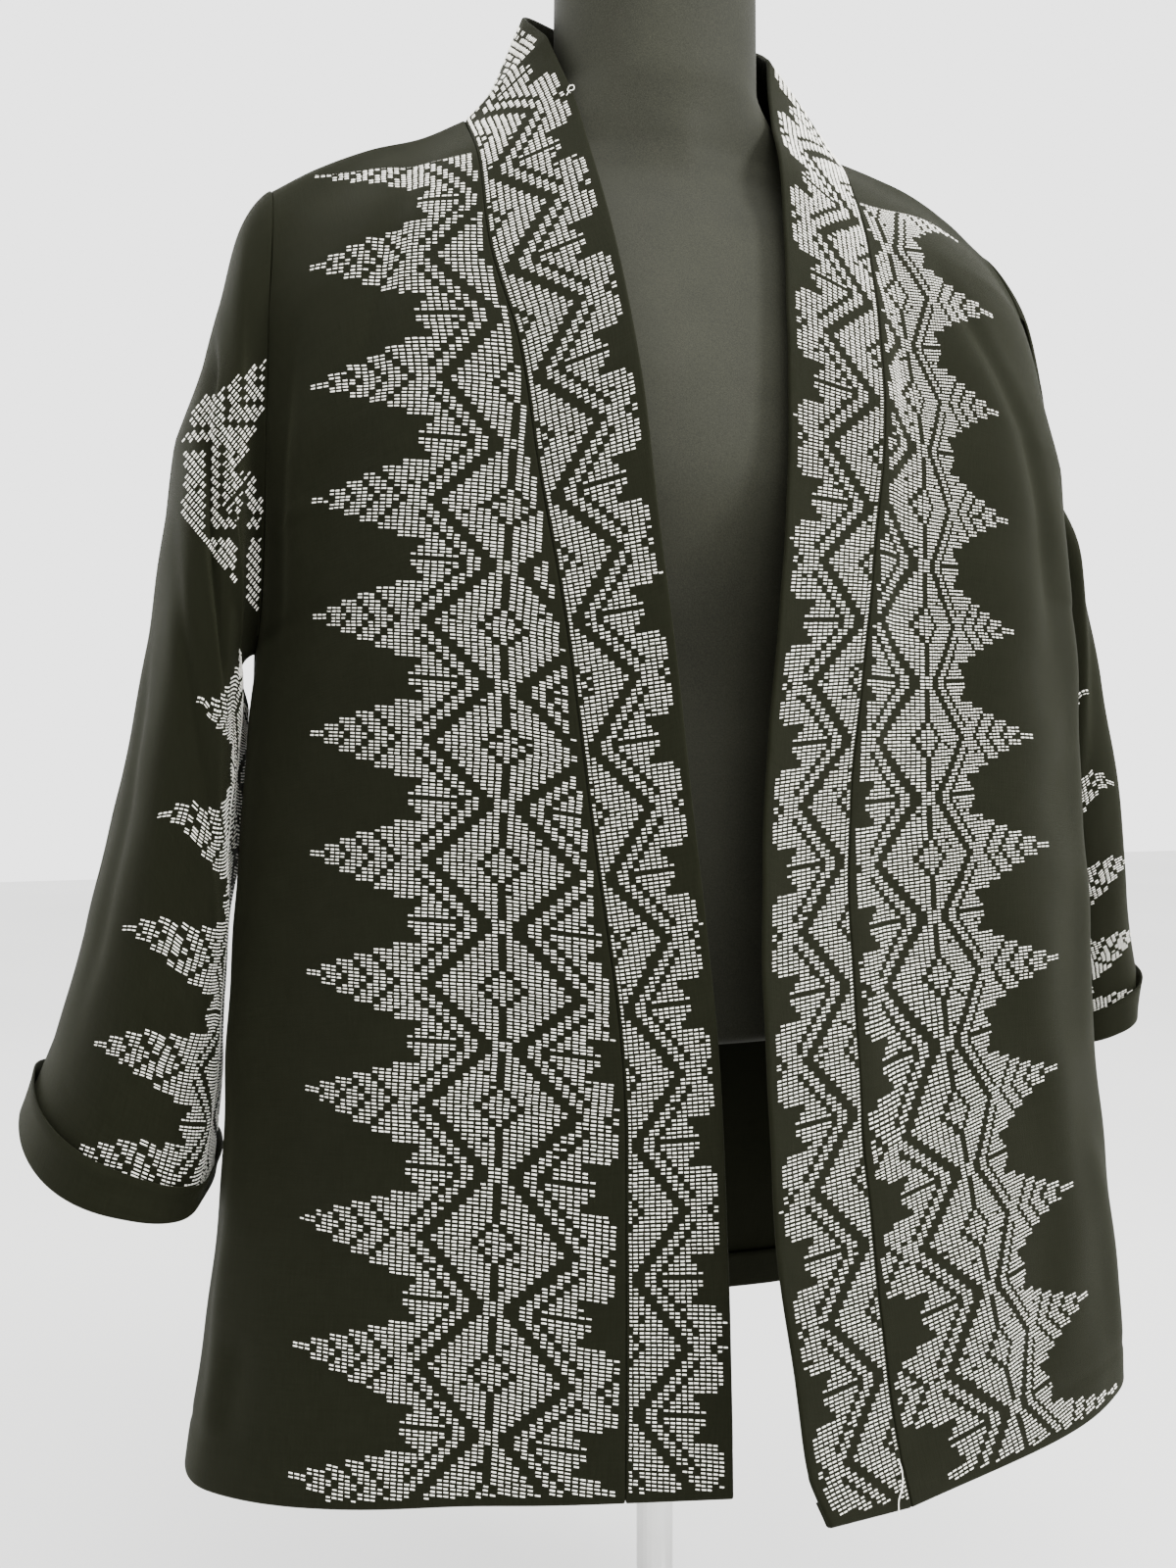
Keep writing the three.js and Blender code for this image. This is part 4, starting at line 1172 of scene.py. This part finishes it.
@dataclass(frozen=True)
class WrapLay:
    """Where the strip crosses the upper sleeve aslant, set out across the line of sight.

    corner is where two lozenges meet beside the strip's middle, and the steps are one column
    and one pair of rows there, as slopes of sight times 1000.
    """

    sleeve: Sleeve
    sight: Sight
    corner: tuple[float, float] = (-240.6, 130.6)
    column_step: tuple[float, float] = (2.5, 3.25)
    pair_step: tuple[float, float] = (2.44, -3.25)
    corner_column: float = 2.5
    grazing: float = 0.05
    nudge: float = 0.004
    longest_step: float = 0.01
    farthest: float = 2.5

    def place(self, columns: Array, rows: Array) -> tuple[Array, Array]:
        """Shares along the sleeve and round it, from the nearest grid point and three corrections."""
        pair = rows / 2.0
        wanted = np.stack([
            self.corner[axis] + (columns - self.corner_column) * self.column_step[axis]
            + pair * self.pair_step[axis] for axis in range(2)
        ], -1).reshape(-1, 2)
        front = self.sleeve.across < 0.5
        flat = self.sight.slopes(self.sleeve.points[:, front]).reshape(-1, 2)
        along, across = np.meshgrid(self.sleeve.along, self.sleeve.across[front], indexing="ij")
        facing = ((self.sight.place - self.sleeve.points) * self.sleeve.normals).sum(-1)[:, front].ravel() > 0
        flat, along, across = flat[facing], along.ravel()[facing], across.ravel()[facing]
        near = np.concatenate([
            ((block[:, None, :] - flat[None]) ** 2).sum(-1).argmin(1)
            for block in np.array_split(wanted, max(1, len(wanted) // 400))
        ])
        v, u = along[near], across[near]
        for _ in range(3):
            here = self.seen(v, u)
            by_v = (self.seen(v + self.nudge, u) - here) / self.nudge
            by_u = (self.seen(v, u + self.nudge) - here) / self.nudge
            miss = wanted - here
            det = by_v[:, 0] * by_u[:, 1] - by_v[:, 1] * by_u[:, 0]
            det = np.where(np.abs(det) < 1e3, 1e3 * np.sign(det + 1e-9), det)
            step_v = (miss[:, 0] * by_u[:, 1] - miss[:, 1] * by_u[:, 0]) / det
            step_u = (by_v[:, 0] * miss[:, 1] - by_v[:, 1] * miss[:, 0]) / det
            v = v + np.clip(step_v, -self.longest_step, self.longest_step)
            u = u + np.clip(step_u, -self.longest_step, self.longest_step)
        point, normal = self.sleeve.sample(v, u)
        cosine = (unit(self.sight.place - point) * normal).sum(-1)
        lost = np.linalg.norm(wanted - self.seen(v, u), axis=1) > self.farthest
        u = np.where(lost | (cosine < self.grazing), -1.0, u)
        return v.reshape(np.shape(rows)), u.reshape(np.shape(rows))

    def seen(self, along: Array, across: Array) -> Array:
        """Slopes of sight of places on the sleeve."""
        return self.sight.slopes(self.sleeve.sample(along, across)[0])


@dataclass
class WeftFloats:
    """The white floats of one piece: short round dashes that stand proud of the black cloth."""

    sheet: ClothSheet
    seed: int
    half_length: float = 0.39  # of a column
    half_height: float = 0.31  # of a row
    crest: float = 0.27  # half length of the dash's crest, of a column
    lift: float = 0.5  # millimetres above the cloth
    sink: float = 0.25
    skipped: float = 0.012  # share of floats that stay behind the cloth
    longest: float = 7.0  # millimetres from corner to corner, beyond which a float is left out

    def build(self, name: str, lays: list[tuple[Callable, Array, Array]],
              material: bpy.types.Material) -> bpy.types.Object:
        """Lay the floats and join them in one mesh.

        Args:
            name: The object's name.
            lays: For each stretch its place function, whole columns and whole rows.
            material: The weft's finish.

        Returns:
            The object.
        """
        rng = np.random.default_rng(self.seed)
        vertices, shades = [], []
        for place, columns, rows in lays:
            corners, shade = self.dashes(place, columns, rows, rng)
            vertices.append(corners)
            shades.append(shade)
        corners = np.concatenate(vertices)
        shade = np.repeat(np.concatenate(shades), 6)
        count = len(corners)
        pattern = np.array([
            [0, 1, 5], [0, 5, 4], [3, 5, 2], [3, 4, 5], [0, 4, 3], [1, 2, 5], [0, 2, 1], [0, 3, 2],
        ])
        if self.turned_over(corners):
            pattern = pattern[:, ::-1]
        faces = (np.arange(count)[:, None, None] * 6 + pattern[None]).reshape(-1, 3)
        piece = add_mesh(name, corners.reshape(-1, 3) * MM, faces, material)
        add_shade(piece, "shade", shade)
        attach(piece, BODY)
        LOG.info("%s: %d floats", name, count)
        return piece

    def turned_over(self, corners: Array) -> bool:
        """Whether the dashes' first corners run round them the wrong way for outward faces."""
        first = corners[len(corners) // 2]
        ground = np.cross(first[1] - first[0], first[3] - first[0])
        return float(ground @ (first[4] - first[0])) < 0

    def dashes(self, place: Callable, columns: Array, rows: Array,
               rng: np.random.Generator) -> tuple[Array, Array]:
        """Corner points of the dashes and one shade for each."""
        keep = rng.random(len(columns)) > self.skipped
        columns, rows = columns[keep].astype(float), rows[keep].astype(float)
        slip = rng.normal(0, 0.035, (len(columns), 2))
        columns, rows = columns + slip[:, 0], rows + slip[:, 1]
        length = self.half_length * (1 + rng.normal(0, 0.05, len(columns)))
        height = self.half_height * (1 + rng.normal(0, 0.06, len(columns)))
        inside = np.ones(len(columns), bool)
        steps = [(-1, -1, 0), (1, -1, 0), (1, 1, 0), (-1, 1, 0), (-1, 0, 1), (1, 0, 1)]
        points = []
        for side, end, crest in steps:
            reach = side * (self.crest if crest else length)
            along, across = place(columns + reach, rows + end * height * (1 - crest))
            inside &= (along > 0.003) & (along < 0.997) & (across > 0.005) & (across < 0.995)
            point, normal = self.sheet.sample(along, across)
            rise = self.sheet.wall / 2 + (self.lift if crest else -self.sink)
            points.append(point + normal * rise)
        corners = np.stack(points, 1)
        spread = np.linalg.norm(corners[:, 2] - corners[:, 0], axis=1)
        inside &= spread < self.longest
        return corners[inside], np.clip(rng.normal(0.5, 0.2, len(columns)), 0, 1)[inside]


def chart_cells(columns: range, first_row: int, last_row: int) -> tuple[Array, Array]:
    """Whole columns and rows of the white floats in a stretch of the strip."""
    grid_columns, grid_rows = np.meshgrid(np.array(list(columns)), np.arange(first_row, last_row))
    white = WeftChart().is_white(grid_columns, grid_rows)
    return grid_columns[white], grid_rows[white]


# ---------------------------------------------------------------- finishes


class NodeBoard:
    """A material's node tree with short calls to add and join its nodes."""

    def __init__(self, name: str) -> None:
        """Start a material with only its surface shader and output."""
        self.material = bpy.data.materials.new(name)
        self.material.use_nodes = True
        self.tree = self.material.node_tree
        self.shader = self.tree.nodes["Principled BSDF"]

    def node(self, kind: str, **settings: object) -> bpy.types.Node:
        """Add a node; settings that name an input set it, and others set the node's own property."""
        added = self.tree.nodes.new(kind)
        for key, value in settings.items():
            socket = key.replace("_", " ").title()
            if hasattr(added, key):
                setattr(added, key, value)
            else:
                added.inputs[socket].default_value = value
        return added

    def link(self, source: bpy.types.NodeSocket, target: bpy.types.NodeSocket) -> None:
        """Join two sockets."""
        self.tree.links.new(source, target)

    def math(self, operation: str, first: object, second: object) -> bpy.types.NodeSocket:
        """The result of a Math node on two sockets or numbers."""
        added = self.tree.nodes.new("ShaderNodeMath")
        added.operation = operation
        for index, value in enumerate((first, second)):
            if isinstance(value, bpy.types.NodeSocket):
                self.link(value, added.inputs[index])
            else:
                added.inputs[index].default_value = value
        return added.outputs[0]

    def ramp(self, factor: bpy.types.NodeSocket, *stops: tuple[float, tuple]) -> bpy.types.NodeSocket:
        """Colours along a factor."""
        added = self.tree.nodes.new("ShaderNodeValToRGB")
        elements = added.color_ramp.elements
        while len(elements) < len(stops):
            elements.new(0.5)
        for element, (position, colour) in zip(elements, stops):
            element.position = position
            element.color = (*colour, 1)
        self.link(factor, added.inputs[0])
        return added.outputs[0]

    def noise(self, vector: bpy.types.NodeSocket, scale: float, detail: float = 3.0,
              roughness: float = 0.5) -> bpy.types.NodeSocket:
        """A noise of the given scale."""
        added = self.tree.nodes.new("ShaderNodeTexNoise")
        added.inputs["Scale"].default_value = scale
        added.inputs["Detail"].default_value = detail
        added.inputs["Roughness"].default_value = roughness
        self.link(vector, added.inputs["Vector"])
        return added.outputs["Fac"]

    def bump(self, height: bpy.types.NodeSocket, strength: float, distance: float) -> None:
        """A bump on the surface shader."""
        added = self.tree.nodes.new("ShaderNodeBump")
        added.inputs["Strength"].default_value = strength
        added.inputs["Distance"].default_value = distance
        self.link(height, added.inputs["Height"])
        self.link(added.outputs["Normal"], self.shader.inputs["Normal"])

    def surface(self, **values: object) -> None:
        """Set the surface shader's own sockets by name."""
        for key, value in values.items():
            self.shader.inputs[key.replace("_", " ")].default_value = value


@dataclass(frozen=True)
class ClothFinish:
    """Dense black cloth with an olive cast, a fine even weave and a low sheen."""

    name: str = Slot.CLOTH.value
    dark: tuple = (0.0017, 0.0019, 0.0010)
    light: tuple = (0.0051, 0.0054, 0.0034)
    thread: float = 0.00062  # metres from one warp thread to the next

    def build(self) -> bpy.types.Material:
        """Weave bump on the cloth's own UV map, with slubs and faint mottling."""
        board = NodeBoard(self.name)
        coordinates = board.node("ShaderNodeTexCoord").outputs["UV"]
        split = board.node("ShaderNodeSeparateXYZ")
        board.link(coordinates, split.inputs[0])
        turns = 2 * math.pi / self.thread
        warp = board.math("SINE", board.math("MULTIPLY", split.outputs[0], turns), 0.0)
        weft = board.math("SINE", board.math("MULTIPLY", split.outputs[1], turns), 0.0)
        weave = board.math("MULTIPLY", warp, weft)
        stretch = board.node("ShaderNodeMapping")
        stretch.inputs["Scale"].default_value = (1.0, 0.08, 1.0)
        board.link(coordinates, stretch.inputs["Vector"])
        slub = board.noise(stretch.outputs[0], 900.0, 2.0)
        cross = board.node("ShaderNodeMapping")
        cross.inputs["Scale"].default_value = (0.06, 1.0, 1.0)
        board.link(coordinates, cross.inputs["Vector"])
        pick = board.noise(cross.outputs[0], 760.0, 2.0)
        mottle = board.noise(coordinates, 34.0, 4.0, 0.6)
        grain = board.noise(coordinates, 1500.0, 2.0)
        streaks = board.math("ADD", board.math("MULTIPLY", slub, 0.35), board.math("MULTIPLY", pick, 0.25))
        tone = board.math("ADD", streaks, board.math("MULTIPLY", mottle, 0.3))
        tone = board.math("ADD", tone, board.math("MULTIPLY", grain, 0.25))
        board.link(board.ramp(tone, (0.3, self.dark), (0.8, self.light)), board.shader.inputs["Base Color"])
        rough = board.math("ADD", board.math("MULTIPLY", mottle, 0.12), 0.74)
        board.link(rough, board.shader.inputs["Roughness"])
        height = board.math("ADD", board.math("MULTIPLY", weave, 0.5), board.math("MULTIPLY", slub, 0.9))
        height = board.math("ADD", height, board.math("MULTIPLY", pick, 0.8))
        board.bump(height, 0.55, 0.00022)
        board.surface(Specular_IOR_Level=0.08, Specular_Tint=(0.85, 0.9, 0.5, 1), Sheen_Weight=0.03,
                      Sheen_Roughness=0.4, Sheen_Tint=(0.62, 0.65, 0.4, 1))
        return board.material


@dataclass(frozen=True)
class WeftFinish:
    """Cream-white weft floats with a soft satin light, each a little different."""

    name: str = Slot.WEFT.value
    dull: tuple = (0.60, 0.585, 0.52)
    bright: tuple = (0.90, 0.885, 0.80)

    def build(self) -> bpy.types.Material:
        """Colour by each float's own shade, with fibre noise."""
        board = NodeBoard(self.name)
        shade = board.node("ShaderNodeAttribute", attribute_name="shade").outputs["Fac"]
        coordinates = board.node("ShaderNodeTexCoord").outputs["Object"]
        fibre = board.noise(coordinates, 2600.0, 2.0)
        wear = board.noise(coordinates, 22.0, 3.0)
        tone = board.math("ADD", board.math("MULTIPLY", shade, 0.6), board.math("MULTIPLY", wear, 0.5))
        board.link(board.ramp(tone, (0.2, self.dull), (0.75, self.bright)), board.shader.inputs["Base Color"])
        board.bump(fibre, 0.35, 0.0002)
        board.surface(Roughness=0.5, Specular_IOR_Level=0.45, Sheen_Weight=0.15, Sheen_Roughness=0.4,
                      Sheen_Tint=(1, 0.98, 0.9, 1))
        return board.material


@dataclass(frozen=True)
class FormFinish:
    """Matt dark covering of the dress form, finely speckled."""

    name: str
    dark: tuple = (0.0098, 0.0102, 0.0066)
    light: tuple = (0.0230, 0.0236, 0.0158)
    roughness: float = 0.72

    def build(self) -> bpy.types.Material:
        """Fine speckle and broad mottling."""
        board = NodeBoard(self.name)
        coordinates = board.node("ShaderNodeTexCoord").outputs["Object"]
        speckle = board.noise(coordinates, 1300.0, 2.0, 0.7)
        broad = board.noise(coordinates, 11.0, 3.0)
        tone = board.math("ADD", board.math("MULTIPLY", speckle, 0.6), board.math("MULTIPLY", broad, 0.4))
        board.link(board.ramp(tone, (0.35, self.dark), (0.68, self.light)), board.shader.inputs["Base Color"])
        board.bump(speckle, 0.3, 0.0003)
        board.surface(Roughness=self.roughness, Specular_IOR_Level=0.12)
        return board.material


@dataclass(frozen=True)
class SteelFinish:
    """Brushed steel of the stand."""

    name: str = Slot.STEEL.value

    def build(self) -> bpy.types.Material:
        """Rings of fine brushing in the roughness, with a few smudges."""
        board = NodeBoard(self.name)
        coordinates = board.node("ShaderNodeTexCoord").outputs["Object"]
        stretch = board.node("ShaderNodeMapping")
        stretch.inputs["Scale"].default_value = (1.0, 1.0, 40.0)
        board.link(coordinates, stretch.inputs["Vector"])
        brushing = board.noise(stretch.outputs[0], 60.0, 4.0)
        smudge = board.noise(coordinates, 18.0, 3.0)
        rough = board.math("ADD", board.math("MULTIPLY", brushing, 0.15), board.math("MULTIPLY", smudge, 0.2))
        board.link(board.math("ADD", rough, 0.14), board.shader.inputs["Roughness"])
        board.link(board.ramp(smudge, (0.3, (0.5, 0.5, 0.49)), (0.7, (0.62, 0.62, 0.61))),
                   board.shader.inputs["Base Color"])
        board.surface(Metallic=1.0)
        return board.material


@dataclass(frozen=True)
class FloorFinish:
    """Plain pale studio floor."""

    name: str = "pale_floor"

    def build(self) -> bpy.types.Material:
        """Almost white, with the faintest mottling."""
        board = NodeBoard(self.name)
        mottle = board.noise(board.node("ShaderNodeTexCoord").outputs["Object"], 1.2, 2.0)
        board.link(board.ramp(mottle, (0.3, (0.66, 0.66, 0.65)), (0.7, (0.70, 0.70, 0.69))),
                   board.shader.inputs["Base Color"])
        board.surface(Roughness=0.8)
        return board.material


# ---------------------------------------------------------------- the jacket


@dataclass
class Haori:
    """The jacket: a back, two fronts, two sleeves and the two halves of the neck band."""

    cloth: bpy.types.Material
    band_cloth: bpy.types.Material
    weft: bpy.types.Material
    on_form: tuple[str, ...] = ("dress_form",)

    def build(self) -> list:
        """Make every piece of cloth with its woven strip.

        Returns:
            The names of the pieces.
        """
        seam = (Rim.SEWN, 4.0)
        shoulder = (Rim.SEWN, 0.6)
        hem = (Rim.HEM, HEM_DEPTH)
        fronts = {}
        for half, bulge, name, cut in (
            (RIGHT, RIGHT_BULGE, "right_front", Cut(0.29, 0.80, 0.174)),
            (LEFT, LEFT_BULGE, "left_front", Cut(0.335, 0.82, 0.211)),
        ):
            fronts[name] = FrontPanel(
                name, cut, Held.DRAPED, self.on_form, facing=-half.side.value, half=half, bulge=bulge,
                width_guess=300, length_guess=740,
                rims={"start": seam, "end": seam, "top": shoulder, "hem": hem},
            )
        back = BackPanel("back_panel", Cut(0.65, 0.81, 0.443), Held.DRAPED, self.on_form, facing=1,
                         width_guess=540, length_guess=700,
                         rims={"start": seam, "end": seam, "top": shoulder, "hem": hem})
        bands = {}
        for half, name, cut in (
            (RIGHT, "right_band", Cut(0.15, 0.966, 0.116)),
            (LEFT, "left_band", Cut(0.155, 0.988, 0.123)),
        ):
            bands[name] = NeckBand(
                name, cut, Held.DRAPED, self.on_form, facing=half.side.value, half=half,
                slot=Slot.BAND, width_guess=66, length_guess=930,
                rims={"start": seam, "end": (Rim.DOUBLE, 70), "hem": (Rim.HEM, 12)},
            )
        sleeves = {}
        for half, rings, name, cut in (
            (RIGHT, RIGHT_RINGS, "right_sleeve", Cut(0.583, 0.571, 0.165)),
            (LEFT, LEFT_RINGS, "left_sleeve", Cut(0.58, 0.538, 0.137)),
        ):
            sleeves[name] = Sleeve(
                name, cut, Held.HUNG, (), facing=half.side.value, half=half, rings=rings,
                closed=True, width_guess=480, length_guess=430,
                rims={"top": (Rim.SEWN, 2.0), "hem": (Rim.CUFF, CUFF_DEPTH)},
            )
        made = [self.finish(back, [])]
        for name, teeth, bunching, seed in (("right_front", RIGHT_TEETH, 0.0, 11),
                                            ("left_front", LEFT_TEETH, LEFT_BUNCHING, 12)):
            lay = FrontLay(fronts[name], teeth, bunching)
            cells = chart_cells(range(-STRIP_REACH, STRIP_REACH + 1), -ROWS // 2, len(teeth) * ROWS)
            made.append(self.finish(fronts[name], [(lay.place, *cells)], seed))
        tilts = {
            "right_band": ((0.0, 0.0), (0.25, 0.012), (0.4, 0.021), (0.52, 0.0173), (0.66, 0.0106),
                           (0.82, 0.0083)),
            "left_band": ((0.0, 0.0), (0.25, 0.03), (0.4, 0.0402), (0.47, 0.0409), (0.55, 0.0368),
                          (0.63, 0.0319), (0.77, 0.0222), (0.9, 0.014)),
        }
        for name, first, step, seed in (("right_band", 0.186, 0.0845, 21), ("left_band", 0.1925, 0.0807, 22)):
            lay = BandLay(bands[name], first, step, tilts[name])
            cells = chart_cells(range(1, 18), -5 * ROWS, 12 * ROWS)
            made.append(self.finish(bands[name], [(lay.place, *cells)], seed))
        for name, seed in (("right_sleeve", 31), ("left_sleeve", 32)):
            lay = SleeveLay(SLEEVE_TEETH)
            cells = chart_cells(range(-STRIP_REACH, STRIP_REACH + 1), ROWS, len(SLEEVE_TEETH) * ROWS)
            lays = [(lay.place, *cells)]
            if name == "right_sleeve":
                wrap = WrapLay(sleeves[name], Sight())
                lays.append((wrap.place, *chart_cells(range(1, STRIP_REACH + 1), -2 * ROWS, ROWS)))
            made.append(self.finish(sleeves[name], lays, seed))
        return made

    def finish(self, sheet: ClothSheet, lays: list, seed: int = 0) -> str:
        piece = sheet.build(self.band_cloth if sheet.slot is Slot.BAND else self.cloth)
        trims = []
        if lays:
            trims.append(WeftFloats(sheet, seed).build(sheet.name + "_floats", lays, self.weft))
        trims += [self.loose_end(sheet, loose) for loose in LOOSE_ENDS if loose.sheet == sheet.name]
        LOG.info("%s: cloth of %d faces", sheet.name, len(piece.data.polygons))
        return piece.name

    def loose_end(self, sheet: ClothSheet, loose: Loose) -> bpy.types.Object:
        """A thread that has come free, laid out from its root in the cloth's own directions."""
        shift = 0.004
        along, across = np.array([loose.along] * 3), np.array([loose.across] * 3)
        _, beyond_step, beside_step = shift * np.eye(3)
        (root, beyond, beside), normals = sheet.sample(along + beyond_step, across - beside_step)
        down, over = unit(beyond - root), unit(root - beside)
        steps = np.array(loose.path, float)
        lift = (steps[:, 2:] + sheet.wall / 2) * normals[0]
        line = root + steps[:, :1] * over + steps[:, 1:2] * down + lift
        vertices, faces = tube_mesh(CurveLine(list(line)).at(np.linspace(0, 1, THREAD_STEPS)), THREAD_RADIUS)
        piece = add_mesh(f"{sheet.name}_loose_thread", vertices * MM, faces, self.weft)
        add_shade(piece, "shade", np.full(len(vertices), THREAD_SHADE))
        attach(piece, BODY)
        return piece


# ---------------------------------------------------------------- the dress form and its stand


@dataclass
class DressForm:
    """A smooth limbless form of shoulders, chest and hips, with its cap and stand."""

    skin: bpy.types.Material
    cap: bpy.types.Material
    steel: bpy.types.Material
    sides: int = 128
    levels: int = 150
    edge: float = 6.0
    softening: int = 7  # neighbours on each side

    def build(self) -> list[str]:
        """Make the smooth form and dress the hard pieces that stay.

        Returns:
            The names of the pieces.
        """
        heights = [section.height for section in FORM_SECTIONS]
        level = np.linspace(heights[0], heights[-1], self.levels)
        values = {name: self.rounded_column(name, level)
                  for name in ("half_width", "front", "back", "power")}
        rounding = [(self.edge * (1 - math.sin(turn)), -self.edge * math.cos(turn))
                    for turn in np.linspace(0, math.pi / 2, 5)[:-1]]
        rings = [self.ring(values, 0, level[0] + drop, inset) for inset, drop in rounding]
        rings += [self.ring(values, index, level[index], 0.0) for index in range(self.levels)]
        points = np.concatenate(rings)
        count = len(rings)
        number = np.arange(count * self.sides).reshape(count, self.sides)
        nxt = np.roll(number, -1, 1)
        quads = np.stack([number[:-1], nxt[:-1], nxt[1:], number[1:]], -1).reshape(-1, 4)
        low, high = len(points), len(points) + 1
        points = np.vstack([points, [[0, 0, rings[0][0, 2]], [0, 0, rings[-1][0, 2]]]])
        triangles = np.concatenate([
            quads[:, [0, 1, 2]], quads[:, [0, 2, 3]],
            np.stack([np.full(self.sides, low), nxt[0], number[0]], -1),
            np.stack([np.full(self.sides, high), number[-1], nxt[-1]], -1),
        ])
        piece = add_mesh("dress_form", points * MM, triangles, self.skin)
        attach(piece, BODY)
        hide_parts("torso")
        for node, material in (("neck_cap", self.cap), ("base", self.steel), ("post", self.steel),
                               ("socket", self.steel), ("flange", self.steel)):
            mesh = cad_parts[node].data
            mesh.materials.clear()
            mesh.materials.append(material)
        return [piece.name]

    @staticmethod
    def rounded_column(name: str, level: Array) -> Array:
        """A column of the sections at any height: cubic spans with limited slopes, so none overshoots."""
        heights = np.array([section.height for section in FORM_SECTIONS], float)
        values = np.array([getattr(section, name) for section in FORM_SECTIONS], float)
        slopes = np.diff(values) / np.diff(heights)
        inner = np.where(slopes[:-1] * slopes[1:] > 0,
                         2 * slopes[:-1] * slopes[1:] / (slopes[:-1] + slopes[1:] + 1e-12), 0)
        ends = np.concatenate([[slopes[0]], inner, [slopes[-1]]])
        span = np.clip(np.searchsorted(heights, level, side="right") - 1, 0, len(heights) - 2)
        gap = heights[span + 1] - heights[span]
        t = (level - heights[span]) / gap
        return ((2 * t**3 - 3 * t**2 + 1) * values[span] + (t**3 - 2 * t**2 + t) * gap * ends[span]
                + (3 * t**2 - 2 * t**3) * values[span + 1] + (t**3 - t**2) * gap * ends[span + 1])

    def ring(self, values: dict[str, Array], index: int, height: float, inset: float) -> Array:
        """One ring: a superellipse, deeper or shallower in front than behind.

        Where its power is below 2 it would come to an edge at the middle of the front and of
        the back, so it is averaged there with its neighbours.
        """
        turn = 2 * np.pi * np.arange(self.sides) / self.sides
        power = 2 / values["power"][index]
        depth = np.where(np.sin(turn) < 0, values["front"][index], values["back"][index]) - inset

        def rounded(wave: Array) -> Array:
            """A sine or cosine raised to the section's power."""
            return np.sign(wave) * np.abs(wave) ** power

        points = np.stack([(values["half_width"][index] - inset) * rounded(np.cos(turn)),
                           depth * rounded(np.sin(turn)), np.full(self.sides, height)], -1)
        reach = np.arange(-self.softening, self.softening + 1)
        weights = 1 - np.abs(reach) / (self.softening + 1)
        soft = sum(w * np.roll(points, k, 0) for w, k in zip(weights, reach)) / weights.sum()
        blend = smooth(0.6, 0.95, np.abs(np.sin(turn))) * (1 - smooth(1.7, 2, values["power"][index]))
        return points + blend[:, None] * (soft - points)


# ---------------------------------------------------------------- studio


@dataclass
class Studio:
    """The camera, the pale floor and soft light."""

    distance: float = 0.95
    azimuth: float = 18.0  # degrees that the view is turned towards the wearer's left
    height: float = 0.598
    aside: float = 0.040375
    image_height: int = 1600
    horizon: int = 752
    focal_pixels: int = 1600
    sensor: float = 36.0
    aim_height: float = 0.6
    surround: float = 3.0

    def build_camera(self) -> None:
        """A level camera that looks at the jacket's front from the wearer's right."""
        turn = math.radians(self.azimuth)
        forward = np.array([math.sin(turn), math.cos(turn)])
        right = np.array([math.cos(turn), -math.sin(turn)])
        place = -self.distance * forward - self.aside * right
        data = bpy.data.cameras.new("camera")
        data.sensor_width = self.sensor
        data.lens = self.sensor * self.focal_pixels / self.image_height
        data.shift_y = (self.horizon - self.image_height / 2) / self.image_height
        data.clip_start = 0.05
        camera = bpy.data.objects.new("camera", data)
        camera.location = (place[0], place[1], self.height)
        camera.rotation_euler = (math.pi / 2, 0, -turn)
        bpy.context.scene.collection.objects.link(camera)
        bpy.context.scene.camera = camera

    def build_lights(self) -> None:
        """Four large soft lights and an even pale surround."""
        for name, place, size, power in (
            ("key", (1.75, -1.55, 1.9), 0.8, 90.0),
            ("fill", (-0.4, -2.2, 1.5), 1.0, 34.0),
            ("top", (0.1, -0.5, 2.7), 1.2, 36.0),
            ("back", (-0.6, 1.9, 1.7), 1.5, 14.0),
        ):
            data = bpy.data.lights.new(name, "AREA")
            data.shape = "DISK"
            data.size = size
            data.energy = power
            lamp = bpy.data.objects.new(name, data)
            lamp.location = place
            aim = np.array([0.0, 0.0, self.aim_height]) - np.array(place)
            tilt = math.acos(-aim[2] / np.linalg.norm(aim))
            lamp.rotation_euler = (tilt, 0, math.atan2(aim[1], aim[0]) - math.pi / 2)
            bpy.context.scene.collection.objects.link(lamp)
        world = bpy.data.worlds.new("surround")
        world.use_nodes = True
        sky = world.node_tree.nodes["Background"]
        sky.inputs["Color"].default_value = (1, 1, 1, 1)
        sky.inputs["Strength"].default_value = self.surround
        bpy.context.scene.world = world

    def build_floor(self, material: bpy.types.Material) -> None:
        """A wide floor under the stand."""
        reach = 6.0
        corners = np.array([(-reach, -reach, 0), (reach, -reach, 0), (reach, reach, 0), (-reach, reach, 0)])
        add_mesh("floor", corners, np.array([[0, 1, 2, 3]]), material)


def main() -> None:
    """Build the scene in order and report each piece."""
    logging.basicConfig(level=logging.INFO, format="%(name)s: %(message)s")
    studio = Studio()
    studio.build_camera()
    studio.build_lights()
    studio.build_floor(FloorFinish().build())
    form = DressForm(FormFinish(Slot.SKIN.value).build(),
                     FormFinish(Slot.CAP.value, (0.006, 0.006, 0.005), (0.010, 0.010, 0.009), 0.45).build(),
                     SteelFinish().build())
    jacket = Haori(ClothFinish().build(), ClothFinish(Slot.BAND.value).build(), WeftFinish().build())
    for name in form.build() + jacket.build():
        LOG.info("built %s", name)


if __name__ == "__main__":
    main()
